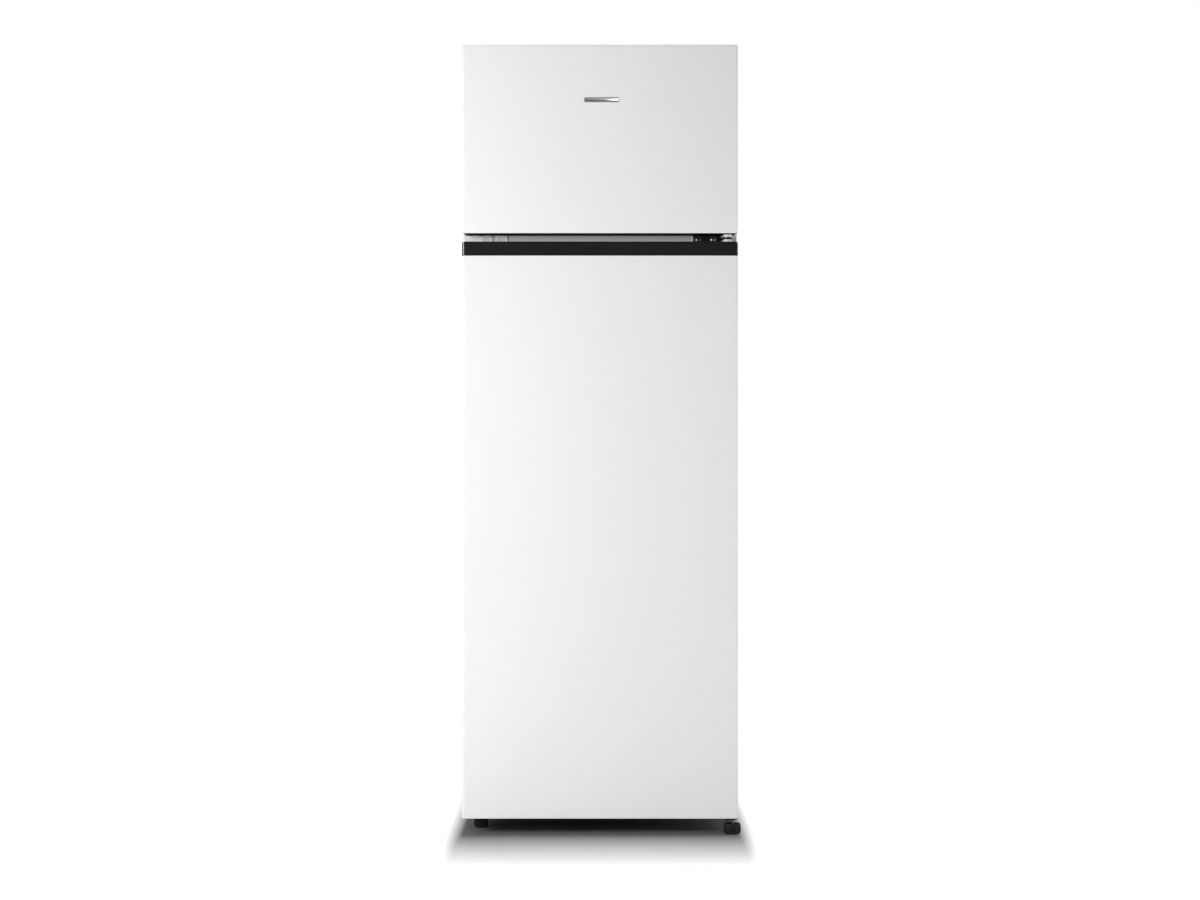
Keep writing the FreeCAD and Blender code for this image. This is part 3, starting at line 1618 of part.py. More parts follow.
def make_compressor():
    """The sealed steel can with its seam, its mounting feet and its tube stubs."""
    can = Piece("compressor")
    low, high = "compressor_z", "compressor_z + compressor_height"
    x_low, x_high = "compressor_x - compressor_length / 2", "compressor_x + compressor_length / 2"
    y_low, y_high = "compressor_y - compressor_width / 2", "compressor_y + compressor_width / 2"
    can.add("XY", low, high, rect(x_low, y_low, x_high, y_high))
    can.round("compressor_width / 2 - 6", along("z"))
    base, top = val("compressor_z"), val("compressor_z") + val("compressor_height")
    can.round("42", lambda e: close(e.BoundBox.ZMin, top) and close(e.BoundBox.ZMax, top))
    can.round("26", lambda e: close(e.BoundBox.ZMin, base) and close(e.BoundBox.ZMax, base))
    seam = "compressor_z + compressor_height * 0.56"
    seam_reach = ("compressor_length / 2 + 3", "compressor_width / 2 + 3")
    seam_edge = octagon("compressor_x", "compressor_y", *seam_reach, 42)
    can.add("XY", seam, f"{seam} + 4", seam_edge)
    plate_low = "cabinet_bottom + base_sheet + grommet_height"
    for side in ("-", ""):
        x_edge = f"compressor_x + {side}(compressor_length / 2 + 4)"
        x_in = f"compressor_x + {side}(compressor_length / 2 - 26)"
        low_x, high_x = (x_edge, x_in) if side else (x_in, x_edge)
        can.add("XY", plate_low, f"{plate_low} + 3", rect(low_x, y_low, high_x, y_high))
        leg = rect(
            f"compressor_x + {side}(compressor_length / 2 - 40) - 12",
            "compressor_y - 20",
            f"compressor_x + {side}(compressor_length / 2 - 40) + 12",
            "compressor_y + 20",
        )
        can.add("XY", plate_low, "compressor_z + 6", leg)
    holes = [(f"compressor_x + {u}", f"compressor_y + {v}", "6.6") for u, v in grommet_offsets()]
    can.cut("XY", plate_low, f"{plate_low} + 3", *holes)


def octagon(x, y, reach_x, reach_y, corner):
    """An eight-cornered outline about a centre."""
    return [
        (f"{x} - ({reach_x})", f"{y} - ({reach_y}) + {corner}"),
        (f"{x} - ({reach_x}) + {corner}", f"{y} - ({reach_y})"),
        (f"{x} + ({reach_x}) - {corner}", f"{y} - ({reach_y})"),
        (f"{x} + ({reach_x})", f"{y} - ({reach_y}) + {corner}"),
        (f"{x} + ({reach_x})", f"{y} + ({reach_y}) - {corner}"),
        (f"{x} + ({reach_x}) - {corner}", f"{y} + ({reach_y})"),
        (f"{x} - ({reach_x}) + {corner}", f"{y} + ({reach_y})"),
        (f"{x} - ({reach_x})", f"{y} + ({reach_y}) - {corner}"),
    ]


def make_bay_fittings():
    grommets = []
    low = val("cabinet_bottom") + val("base_sheet")
    reach_x, reach_y = val("compressor_length") / 2 - 8, val("compressor_width") / 2 - 12
    for x in both(reach_x):
        for y in both(reach_y):
            place = Vector(val("compressor_x") + x, val("compressor_y") + y, low)
            body = Part.makeCylinder(val("grommet_diameter") / 2, val("grommet_height"), place)
            half_way = place + Vector(0, 0, val("grommet_height") / 2)
            waist = Part.makeTorus(val("grommet_diameter") / 2 + 1, 3, half_way)
            bore = Part.makeCylinder(3.2, val("grommet_height"), place)
            grommets.append(body.cut(waist).cut(bore))
    coded("compressor_grommets", Part.makeCompound(grommets))

    relay = Piece("relay_cover")
    x_face = "compressor_x - compressor_length / 2 - 30"
    relay.add(
        "XY",
        "compressor_z + 26",
        "compressor_z + 82",
        rect(x_face, "compressor_y - 26", "compressor_x - compressor_length / 2 - 3.2", "compressor_y + 26"),
    )
    relay.round("4", along("z"))

    tray = Piece("drip_tray")
    tray_low, tray_high = "compressor_z + compressor_height + 1", "compressor_z + compressor_height + 26"
    tray_left, tray_right = "compressor_x - 120", "compressor_x + 76"
    tray.add(
        "XY",
        tray_low,
        tray_high,
        rect(tray_left, "compressor_y - 52", tray_right, "compressor_y + 54"),
    )
    tray.cut(
        "XY",
        f"{tray_low} + 2",
        f"{tray_high} + 1",
        rect(f"{tray_left} + 2", "compressor_y - 50", f"{tray_right} - 2", "compressor_y + 52"),
    )
    left, right = val("compressor_x") - 120, val("compressor_x") + 76
    tray.round("10", along("z", x=(left + 2, right - 2)))
    tray.round("12", along("z", x=(left, right)))

    drain = Piece("drain_tube")
    place = ("0", "fridge_rear - 16", "drain_diameter")
    hole = ("0", "fridge_rear - 16", "drain_diameter - 3")
    drain.add("XY", "bay_roof - 12", "step_top + liner_wall", place, hole)

    gland = Piece("mains_gland")
    plate = rect("gland_x - 18", "cabinet_bottom + 2", "gland_x + 18", "cabinet_bottom + 34")
    gland.add("XZ", "cabinet_back - 6", "cabinet_back - 4", plate)
    gland.add("XZ", "cabinet_back - 4", "cabinet_back", ("gland_x", "cabinet_bottom + 20", "17"))
    gland.cut("XZ", "cabinet_back - 6", "cabinet_back", ("gland_x", "cabinet_bottom + 20", "8"))


def make_refrigerant_parts():
    """The drier, the tubes between compressor and cabinet, and the foamed-in coils."""
    x0, y0 = val("compressor_x"), val("compressor_y")
    base = val("compressor_z")
    x_left = x0 - val("compressor_length") / 2
    roof, rear = val("bay_roof"), val("cabinet_back")
    radius = val("drier_diameter") / 2
    length = val("drier_length")
    drier_x, drier_y, drier_z = x_left - 70, y0 + 18, base + 78
    body = Part.makeCylinder(radius, length, Vector(drier_x, drier_y, drier_z))
    body = body.makeFillet(radius * 0.7, [e for e in body.Edges if len(e.Vertexes) == 1])
    coded("filter_drier", body)

    big, thin = val("tube_diameter") / 2, val("capillary_diameter") / 2
    side_x = -val("inner_half") + 14
    suction = [
        Vector(x_left + 6, y0 + 22, base + 112),
        Vector(x_left - 45, y0 + 22, base + 112),
        Vector(x_left - 45, y0 + 22, roof),
    ]
    discharge = [
        Vector(x_left + 6, y0 - 20, base + 96),
        Vector(x_left - 48, y0 - 20, base + 96),
        Vector(x_left - 48, y0 - 20, base + 20),
        Vector(side_x, y0 - 20, base + 20),
        Vector(side_x, y0 - 20, roof),
    ]
    to_drier = [
        Vector(drier_x, drier_y, drier_z),
        Vector(drier_x, drier_y, drier_z - 34),
        Vector(drier_x - 40, drier_y, drier_z - 34),
        Vector(drier_x - 40, drier_y, roof),
    ]
    capillary = [
        Vector(drier_x, drier_y, drier_z + length),
        Vector(drier_x, drier_y, drier_z + length + 14),
        Vector(drier_x, drier_y - 30, drier_z + length + 14),
        Vector(drier_x, drier_y - 30, roof),
    ]
    process = [
        Vector(x0 + 30, y0 + 48, base + 100),
        Vector(x0 + 30, y0 + 66, base + 100),
        Vector(x0 + 68, y0 + 66, base + 100),
    ]
    tubes = [
        tube(suction, big, 9),
        tube(discharge, thin, 12),
        tube(to_drier, thin, 10),
        tube(capillary, 1.6, 5),
        tube(process, big, 6.5),
    ]
    coded("refrigerant_tubes", Part.makeCompound(tubes))

    coils = []
    pitch, rows = val("coil_pitch"), int(val("coil_rows"))
    front, back = val("cabinet_front") + 40, val("foam_back") - 40
    for x in both(val("inner_half") - thin - 0.3):
        points = []
        for k in range(rows):
            z = val("step_top") + 60 + k * pitch
            ends = (front, back) if k % 2 == 0 else (back, front)
            points += [Vector(x, ends[0], z), Vector(x, ends[1], z)]
        coils.append(tube(points, thin, pitch * 0.36))
    coded("condenser_coils", Part.makeCompound(coils))

    plate = 1.6
    freezer_plate = Part.makeBox(
        2 * val("freezer_half") - 40,
        plate,
        val("freezer_ceiling") - val("freezer_floor") - 30,
        Vector(-val("freezer_half") + 20, val("freezer_rear"), val("freezer_floor") + 15),
    )
    fridge_plate = Part.makeBox(
        360, plate, 420, Vector(-180, val("fridge_rear"), val("mullion_bottom") - 470)
    )
    coded("evaporators", Part.makeCompound([freezer_plate, fridge_plate]))


# --------------------------------------------------------------------- build


def build():
    make_outer_wrap()
    make_back_panel()
    make_bottom_deck()
    make_compressor_base()
    make_cabinet_foam()
    make_freezer_liner()
    make_fridge_liner()
    make_mullion_strip()
    make_upper_hinge()
    make_upper_hinge_cover()
    make_middle_hinge()
    make_lower_hinge()
    make_bushes()
    make_zinc_screws()
    make_black_screws()
    make_hole_plugs()
    make_freezer_door()
    make_fridge_door()
    make_racks()
    make_egg_tray()
    make_badge()
    make_glass_shelves()
    make_crisper_lid()
    make_freezer_shelf()
    make_shelf_trims()
    make_crisper_drawer()
    make_control_box()
    make_ice_tray()
    make_feet()
    make_rollers()
    make_compressor()
    make_bay_fittings()
    make_refrigerant_parts()


def check_and_write():
    """Stops on a failed object, then writes one STEP file for each sub-part."""
    DOC.recompute()
    failed = [o.Label for o in DOC.Objects if {"Invalid", "Error"} & set(o.State)]
    if failed:
        raise RuntimeError(f"objects that failed: {failed}")
    os.makedirs("parts", exist_ok=True)
    for old in os.listdir("parts"):
        if old.endswith(".step"):
            os.remove(os.path.join("parts", old))
    for piece in PIECES:
        shape = piece.Shape
        if shape.isNull() or not shape.isValid() or not shape.Solids or shape.Volume <= 0:
            raise RuntimeError(f"{piece.Label} is not a valid solid")
        shape.exportStep(f"parts/{piece.Label}.step")
    print(f"{len(PIECES)} sub-parts written")


build()
check_and_write()
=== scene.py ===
"""Looks of a top freezer refrigerator, laid out as a Blender add-on.

The packed CAD model is the frame: metres, +Z up, the doors face -Y, hinges on the +X side.
Every piece is built round the boxes of the CAD nodes and rides on a CAD body.
"""

import json
import math
from functools import cache, partial

import bmesh
import bpy
from bpy.props import FloatProperty, FloatVectorProperty, IntProperty, PointerProperty
from mathutils import Matrix, Vector

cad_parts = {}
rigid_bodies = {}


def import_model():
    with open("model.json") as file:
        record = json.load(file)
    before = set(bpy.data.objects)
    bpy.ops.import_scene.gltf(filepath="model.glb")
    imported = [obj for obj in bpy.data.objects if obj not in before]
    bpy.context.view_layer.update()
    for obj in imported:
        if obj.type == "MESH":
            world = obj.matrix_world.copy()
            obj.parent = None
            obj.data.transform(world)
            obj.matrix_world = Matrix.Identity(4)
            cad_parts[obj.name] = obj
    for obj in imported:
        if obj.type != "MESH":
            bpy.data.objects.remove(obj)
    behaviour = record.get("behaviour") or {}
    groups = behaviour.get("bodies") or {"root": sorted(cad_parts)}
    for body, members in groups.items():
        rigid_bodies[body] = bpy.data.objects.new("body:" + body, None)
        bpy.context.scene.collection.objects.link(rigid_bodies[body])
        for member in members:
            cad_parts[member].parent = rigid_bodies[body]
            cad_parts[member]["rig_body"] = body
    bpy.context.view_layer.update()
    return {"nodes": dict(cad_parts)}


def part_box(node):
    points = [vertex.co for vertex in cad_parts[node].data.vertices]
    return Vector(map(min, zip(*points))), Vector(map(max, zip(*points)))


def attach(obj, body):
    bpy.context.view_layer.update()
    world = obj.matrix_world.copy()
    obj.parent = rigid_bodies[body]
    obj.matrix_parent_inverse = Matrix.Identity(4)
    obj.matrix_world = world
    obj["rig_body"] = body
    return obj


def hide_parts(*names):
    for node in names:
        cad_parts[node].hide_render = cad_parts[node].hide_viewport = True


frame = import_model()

bl_info = {
    "name": "Top freezer refrigerator",
    "version": (1, 0, 0),
    "blender": (4, 5, 0),
    "location": "View3D > Sidebar > Refrigerator",
    "description": "Builds the visible pieces of a top freezer refrigerator round its CAD frame",
    "category": "Object",
}

MM = 0.001
CABINET = "cabinet"
FREEZER = "freezer_door"
FRIDGE = "fridge_door"


# ------------------------------------------------------------------ settings


def length(name, description, millimetres):
    """A length property with its default in millimetres."""
    return FloatProperty(
        name=name, description=description, default=millimetres * MM, min=0, unit="LENGTH", precision=5
    )


def colour(name, description, value):
    """A colour property with a linear default."""
    return FloatVectorProperty(
        name=name, description=description, default=value, size=3, min=0, max=1, subtype="COLOR"
    )


def amount(name, description, value):
    """A plain number that isn't negative."""
    return FloatProperty(name=name, description=description, default=value, min=0)


def tally(name, description, value, least):
    """A whole number of at least the least."""
    return IntProperty(name=name, description=description, default=value, min=least)


class FinishSettings(bpy.types.PropertyGroup):
    """Colours of the finishes."""

    enamel: colour("Enamel", "Baked enamel of the doors and the cabinet", (0.80, 0.80, 0.80))
    rail: colour("Rail", "Painted steel rail between the compartments", (0.68, 0.68, 0.685))
    trim: colour("White trim", "White moulded caps and covers", (0.80, 0.80, 0.805))
    liner: colour("Liner", "Vacuum-formed liners", (0.84, 0.85, 0.86))
    grip: colour("Grip", "Glossy black plastic of the grip", (0.004, 0.0042, 0.0045))
    black: colour("Black", "Black plastic of feet and covers", (0.0045, 0.0045, 0.0048))
    seal: colour("Seal", "Soft vinyl of the gaskets", (0.56, 0.57, 0.58))
    back: colour("Back", "Painted steel of the back and the middle rail", (0.42, 0.43, 0.44))
    steel: colour("Steel", "Galvanised sheet", (0.47, 0.49, 0.51))
    copper: colour("Copper", "Refrigerant tubes", (0.62, 0.27, 0.15))
    foam: colour("Foam", "Rigid insulation", (0.78, 0.66, 0.32))


class DoorSettings(bpy.types.PropertyGroup):
    """Sizes of the doors' details."""

    bend: length("Bend", "Radius of the skin's bends", 5)
    sheet: length("Sheet", "Thickness of the steel skin", 0.8)
    hem: length("Hem", "Roll along the skin's upper and lower edges", 2.0)
    notch: length("Notch", "Room for the upper hinge in the freezer door", 84)
    mould: length("Mould radius", "Soft radius of the door liners", 6)
    draft: length("Draft", "Slope of the liner's raised rim", 2.5)
    rack_round: length("Rack corner", "Corner radius of the racks", 9)


class CabinetSettings(bpy.types.PropertyGroup):
    """Sizes of the cabinet's details."""

    crease: length("Crease", "Rounding along bent sheet edges", 0.5)
    liner_round: length("Liner radius", "Soft radius inside the liners", 14)
    bead_width: length("Bead width", "Width of the pressed beads of the back", 12)
    bead_rows: tally("Beads", "Pressed beads across the back", 9, 1)


class FootSettings(bpy.types.PropertyGroup):
    """Details of the feet and the knob."""

    ribs: tally("Foot ribs", "Grip ribs round a foot", 24, 3)
    knob_ribs: tally("Knob ribs", "Grip ribs round the knob", 28, 3)
    thread_pitch: length("Thread pitch", "Pitch of the foot's stud", 1.25)


class StageSettings(bpy.types.PropertyGroup):
    """Camera, floor and lights."""

    camera_distance: length("Camera distance", "From the doors' face to the camera", 5500)
    camera_height: length("Camera height", "Above the floor", 767)
    lens: amount("Lens", "Focal length in mm", 82.9)
    key: amount("Key light", "Power of the left softbox", 65)
    fill: amount("Fill light", "Power of the right softbox", 34)
    top: amount("Top light", "Power of the overhead light", 310)
    sky: amount("Sky", "Brightness of the white surroundings", 0.22)
    glow: amount("Floor glow", "Brightness added to the far floor", 1.0)
    # The two reaches below shape a painted shadow round the base: the floor's glow fades out within them.
    side_shadow: amount("Side shadow", "Reach of the shadow sideways", 0.035)
    front_shadow: amount("Front shadow", "Reach of the shadow forwards", 0.50)
    # The camera meets the floor in a darker tone than reflected light does: painted shade that deepens the
    # shadow round the base.
    floor_shade: amount("Floor shade", "Floor tone as the camera meets it", 0.17)
    floor_bounce: amount("Floor bounce", "Floor tone for reflected light", 0.78)


SETTINGS = {
    "fridge_finish": FinishSettings,
    "fridge_doors": DoorSettings,
    "fridge_cabinet": CabinetSettings,
    "fridge_feet": FootSettings,
    "fridge_stage": StageSettings,
}


# ---------------------------------------------------------------- node groups


def new_group(name, inputs, outputs):
    """An empty shader node group with named sockets."""
    group = bpy.data.node_groups.new(name, "ShaderNodeTree")
    for socket, kind, value in inputs:
        made = group.interface.new_socket(socket, in_out="INPUT", socket_type=f"NodeSocket{kind}")
        if value is not None:
            made.default_value = value
    for socket, kind in outputs:
        group.interface.new_socket(socket, in_out="OUTPUT", socket_type=f"NodeSocket{kind}")
    return group, group.nodes.new("NodeGroupInput"), group.nodes.new("NodeGroupOutput")


def noise(tree, vector, scale, detail=3.0):
    """A noise texture; scale is a socket or a number."""
    node = tree.nodes.new("ShaderNodeTexNoise")
    node.inputs["Detail"].default_value = detail
    tree.links.new(vector, node.inputs["Vector"])
    if isinstance(scale, bpy.types.NodeSocket):
        tree.links.new(scale, node.inputs["Scale"])
    else:
        node.inputs["Scale"].default_value = scale
    return node.outputs["Fac"]


def arithmetic(tree, operation, first, second=None):
    """A Math node's result; each operand is a socket or a number."""
    node = tree.nodes.new("ShaderNodeMath")
    node.operation = operation
    for k, operand in enumerate((first, second)):
        if isinstance(operand, bpy.types.NodeSocket):
            tree.links.new(operand, node.inputs[k])
        elif operand is not None:
            node.inputs[k].default_value = operand
    return node.outputs[0]


def spread(tree, value, from_low, from_high, to_low, to_high):
    """A Map Range node's result; the last two may be sockets."""
    node = tree.nodes.new("ShaderNodeMapRange")
    tree.links.new(value, node.inputs["Value"])
    node.inputs["From Min"].default_value = from_low
    node.inputs["From Max"].default_value = from_high
    for name, end in (("To Min", to_low), ("To Max", to_high)):
        if isinstance(end, bpy.types.NodeSocket):
            tree.links.new(end, node.inputs[name])
        else:
            node.inputs[name].default_value = end
    return node.outputs["Result"]


def blend_colours(tree, mask, first, second):
    """A colour between two colour sockets, by a mask."""
    node = tree.nodes.new("ShaderNodeMix")
    node.data_type = "RGBA"
    tree.links.new(mask, node.inputs[0])
    tree.links.new(first, node.inputs[6])
    tree.links.new(second, node.inputs[7])
    return node.outputs[2]


@cache
def tone_group():
    """Slow drifts of colour, and handled patches that change the gloss."""
    group, given, result = new_group(
        "Surface tone",
        [
            ("Vector", "Vector", None),
            ("Scale", "Float", 3.0),
            ("Colour", "Color", (0.8, 0.8, 0.8, 1)),
            ("Shade", "Color", (0.7, 0.7, 0.7, 1)),
            ("Smooth", "Float", 0.3),
            ("Dull", "Float", 0.4),
        ],
        [("Colour", "Color"), ("Roughness", "Float")],
    )
    vector, scale = given.outputs["Vector"], given.outputs["Scale"]
    drift = noise(group, vector, scale, 2.0)
    fine = noise(group, vector, arithmetic(group, "MULTIPLY", scale, 9.0), 5.0)
    mask = spread(group, drift, 0.25, 0.75, 0.0, 1.0)
    mixed = blend_colours(group, mask, given.outputs["Colour"], given.outputs["Shade"])
    patches = [arithmetic(group, "MULTIPLY", source, 0.5) for source in (drift, fine)]
    patches = arithmetic(group, "ADD", *patches)
    rough = spread(group, patches, 0.25, 0.75, given.outputs["Smooth"], given.outputs["Dull"])
    group.links.new(mixed, result.inputs["Colour"])
    group.links.new(rough, result.inputs["Roughness"])
    return group


@cache
def relief_group():
    """Height of a fine surface: paint ripple at 0, pitted mould grain at 1."""
    group, given, result = new_group(
        "Fine relief",
        [("Vector", "Vector", None), ("Scale", "Float", 400.0), ("Grain", "Float", 0.0)],
        [("Height", "Float")],
    )
    vector, scale = given.outputs["Vector"], given.outputs["Scale"]
    ripple = noise(group, vector, scale, 1.0)
    cells = group.nodes.new("ShaderNodeTexVoronoi")
    cells.feature = "SMOOTH_F1"
    group.links.new(vector, cells.inputs["Vector"])
    group.links.new(arithmetic(group, "MULTIPLY", scale, 2.0), cells.inputs["Scale"])
    pits = arithmetic(group, "MULTIPLY", cells.outputs["Distance"], 1.3)
    mix = group.nodes.new("ShaderNodeMix")
    group.links.new(given.outputs["Grain"], mix.inputs[0])
    group.links.new(ripple, mix.inputs[2])
    group.links.new(pits, mix.inputs[3])
    group.links.new(mix.outputs[0], result.inputs["Height"])
    return group


@cache
def crystal_group():
    """Zinc crystals: a random shade in each cell, and fine scratches along one way."""
    group, given, result = new_group(
        "Zinc crystals",
        [("Vector", "Vector", None), ("Scale", "Float", 60.0), ("Scratches", "Float", 0.3)],
        [("Mask", "Float")],
    )
    cells = group.nodes.new("ShaderNodeTexVoronoi")
    group.links.new(given.outputs["Vector"], cells.inputs["Vector"])
    group.links.new(given.outputs["Scale"], cells.inputs["Scale"])
    shade = group.nodes.new("ShaderNodeSeparateColor")
    group.links.new(cells.outputs["Color"], shade.inputs[0])
    stretch = group.nodes.new("ShaderNodeMapping")
    stretch.inputs["Scale"].default_value = (1.0, 24.0, 24.0)
    group.links.new(given.outputs["Vector"], stretch.inputs["Vector"])
    lines = noise(group, stretch.outputs["Vector"], 40.0, 4.0)
    mix = group.nodes.new("ShaderNodeMix")
    group.links.new(given.outputs["Scratches"], mix.inputs[0])
    group.links.new(shade.outputs[0], mix.inputs[2])
    group.links.new(lines, mix.inputs[3])
    group.links.new(mix.outputs[0], result.inputs["Mask"])
    return group


# ------------------------------------------------------------------ materials


class Finish:
    """A procedural material: a Principled shader fed by the shared groups.

    The hue is a colour or the name of a colour setting, shade the darker end's share of it, gloss the
    range of roughness, and patch the scale of both. The relief is its scale, strength, distance and grain.
    """

    def __init__(self, name, hue, shade, gloss, patch, relief, crystals=None, **sockets):
        if isinstance(hue, str):
            hue = getattr(bpy.context.scene.fridge_finish, hue)
        self.material = bpy.data.materials.new(name)
        self.material.use_nodes = True
        self.tree = self.material.node_tree
        self.shader = self.tree.nodes["Principled BSDF"]
        place = self.tree.nodes.new("ShaderNodeTexCoord")
        self.vector = place.outputs["Object"]
        tone = self.group(tone_group(), Scale=patch, Smooth=gloss[0], Dull=gloss[1])
        tone.inputs["Colour"].default_value = (*hue, 1)
        tone.inputs["Shade"].default_value = (*(channel * shade for channel in hue), 1)
        self.tree.links.new(tone.outputs["Colour"], self.shader.inputs["Base Color"])
        self.tree.links.new(tone.outputs["Roughness"], self.shader.inputs["Roughness"])
        self.tone = tone
        for socket, value in sockets.items():
            self.shader.inputs[socket.replace("_", " ")].default_value = value
        if crystals:
            self.crystals(*crystals)
        self.relief(*relief)

    def group(self, tree, **values):
        """Places a shared group in this material."""
        node = self.tree.nodes.new("ShaderNodeGroup")
        node.node_tree = tree
        self.tree.links.new(self.vector, node.inputs["Vector"])
        for socket, value in values.items():
            node.inputs[socket].default_value = value
        return node

    def relief(self, scale, strength, distance, grain=0.0):
        """Adds a fine bump."""
        height = self.group(relief_group(), Scale=scale, Grain=grain)
        bump = self.tree.nodes.new("ShaderNodeBump")
        bump.inputs["Strength"].default_value = strength
        bump.inputs["Distance"].default_value = distance
        self.tree.links.new(height.outputs["Height"], bump.inputs["Height"])
        self.tree.links.new(bump.outputs["Normal"], self.shader.inputs["Normal"])

    def crystals(self, scale, scratches, dark=0.72):
        """Breaks the colour up into zinc crystals."""
        node = self.group(crystal_group(), Scale=scale, Scratches=scratches)
        mix = self.tree.nodes.new("ShaderNodeMix")
        mix.data_type = "RGBA"
        mix.blend_type = "MULTIPLY"
        mix.inputs[0].default_value = 1.0
        ramp = self.tree.nodes.new("ShaderNodeMapRange")
        ramp.inputs["To Min"].default_value = dark
        self.tree.links.new(node.outputs["Mask"], ramp.inputs["Value"])
        self.tree.links.new(self.tone.outputs["Colour"], mix.inputs[6])
        self.tree.links.new(ramp.outputs["Result"], mix.inputs[7])
        self.tree.links.new(mix.outputs[2], self.shader.inputs["Base Color"])


FINISHES = {
    "enamel": partial(
        Finish, "White enamel", "enamel", 0.985, (0.4, 0.46), 1.4, (520, 0.10, 0.00012),
        Specular_IOR_Level=0.3, Coat_Weight=0.06,
    ),
    "trim": partial(Finish, "White trim", "trim", 0.95, (0.38, 0.5), 5.0, (1500, 0.22, 0.00012, 0.8)),
    "liner": partial(
        Finish, "Liner white", "liner", 0.975, (0.32, 0.38), 2.5, (260, 0.08, 0.0002),
        Coat_Weight=0.05,
    ),
    "grip": partial(
        Finish, "Black gloss", "grip", 1.5, (0.16, 0.24), 6.0, (900, 0.05, 0.0001),
        Specular_IOR_Level=0.5,
    ),
    # Matt black for the freezer door's bottom cap: black plastic, whose black also paints the shade in the
    # gap under the door.
    "matt": partial(
        Finish, "Matt black", "grip", 1.4, (0.7, 0.85), 9.0, (1600, 0.3, 0.0001, 1.0),
        Specular_IOR_Level=0.08,
    ),
    "rail": partial(Finish, "Rail paint", "rail", 0.94, (0.35, 0.45), 6.0, (700, 0.12, 0.0001)),
    "black_zinc": partial(
        Finish, "Black zinc", (0.46, 0.46, 0.465), 0.6, (0.16, 0.3), 40.0, (1500, 0.1, 0.00005),
        Metallic=1.0,
    ),
    "black": partial(
        Finish, "Black plastic", "black", 1.6, (0.45, 0.62), 9.0, (1800, 0.35, 0.00015, 1.0),
        Specular_IOR_Level=0.22,
    ),
    "black_steel": partial(
        Finish, "Black steel", "black", 1.7, (0.32, 0.5), 12.0, (1200, 0.2, 0.0001),
        Metallic=0.3,
    ),
    "compressor": partial(
        Finish, "Compressor enamel", "black", 1.9, (0.24, 0.4), 9.0, (420, 0.18, 0.0002),
        Coat_Weight=0.3,
    ),
    "seal": partial(Finish, "Seal vinyl", "seal", 0.93, (0.5, 0.62), 8.0, (1400, 0.2, 0.0001, 0.3)),
    "back": partial(Finish, "Back paint", "back", 0.94, (0.42, 0.55), 4.0, (700, 0.15, 0.0001)),
    "steel": partial(
        Finish, "Galvanised sheet", "steel", 0.9, (0.34, 0.5), 6.0, (600, 0.12, 0.0001),
        crystals=(110, 0.35), Metallic=0.9,
    ),
    "zinc": partial(
        Finish, "Zinc plate", (0.6, 0.61, 0.62), 0.88, (0.22, 0.36), 30.0, (1500, 0.1, 0.00005),
        crystals=(900, 0.6, 0.85), Metallic=1.0,
    ),
    "bright": partial(
        Finish, "Badge metal", (0.56, 0.57, 0.59), 0.92, (0.26, 0.36), 20.0, (900, 0.06, 0.00005),
        crystals=(40, 1.0, 0.86), Metallic=0.9,
    ),
    "copper": partial(
        Finish, "Copper tube", "copper", 0.7, (0.26, 0.45), 25.0, (300, 0.1, 0.0001),
        Metallic=1.0,
    ),
    "aluminium": partial(
        Finish, "Aluminium", (0.62, 0.63, 0.64), 0.9, (0.3, 0.45), 12.0, (500, 0.1, 0.0001),
        crystals=(60, 0.9, 0.85), Metallic=1.0,
    ),
    "foam": partial(Finish, "Foam", "foam", 0.85, (0.7, 0.9), 9.0, (500, 0.7, 0.0006, 1.0)),
    "rubber": partial(Finish, "Black rubber", "black", 1.4, (0.62, 0.8), 14.0, (1600, 0.3, 0.0001, 0.5)),
    "clear": partial(
        Finish, "Clear plastic", (0.95, 0.97, 0.978), 0.98, (0.05, 0.11), 6.0, (180, 0.06, 0.0002),
        Transmission_Weight=0.88, IOR=1.3,
    ),
    "frost": partial(
        Finish, "Frosted lens", (0.93, 0.92, 0.88), 0.97, (0.35, 0.5), 8.0, (900, 0.4, 0.0002, 1.0),
        Transmission_Weight=0.45, IOR=1.45,
    ),
    "glass": partial(
        Finish, "Shelf glass", (0.92, 0.98, 0.96), 0.98, (0.015, 0.04), 4.0, (60, 0.02, 0.0001),
        Transmission_Weight=0.95, IOR=1.45,
    ),
    "ink": partial(Finish, "Printed grey", (0.12, 0.125, 0.13), 0.9, (0.5, 0.6), 40.0, (900, 0.1, 0.00005)),
}


@cache
def material(name):
    """The named material, made on first use."""
    return FINISHES[name]().material


# ----------------------------------------------------------------- mesh tools

AXES = {"x": (1, 2, 0), "y": (0, 2, 1), "z": (0, 1, 2)}


def spot(axis, u, v, level):
    """A point at a level along an axis, with the other two coordinates in their order."""
    point = Vector((0, 0, 0))
    for place, number in zip(AXES[axis], (u, v, level)):
        point[place] = number
    return point


def rounded(low, high, radius, level, axis="z", steps=5):
    """A ring of points: a rounded rectangle between two (u, v) corners, at a level."""
    radius = min(radius, (high[0] - low[0]) / 2 - 1e-5, (high[1] - low[1]) / 2 - 1e-5)
    radius = max(radius, 1e-5)
    centres = (
        (high[0] - radius, high[1] - radius, 0),
        (low[0] + radius, high[1] - radius, 1),
        (low[0] + radius, low[1] + radius, 2),
        (high[0] - radius, low[1] + radius, 3),
    )
    points = []
    for u, v, quarter in centres:
        for k in range(steps + 1):
            angle = (quarter + k / steps) * math.pi / 2
            points.append(spot(axis, u + radius * math.cos(angle), v + radius * math.sin(angle), level))
    return points


def nested(low, high, radius, steps, axis="z", corner=5):
    """Rings from one rounded rectangle: each step is an inset and a level."""
    rings = []
    for inset, level in steps:
        near = (low[0] + inset, low[1] + inset)
        far = (high[0] - inset, high[1] - inset)
        rings.append(rounded(near, far, radius - inset, level, axis, corner))
    return rings


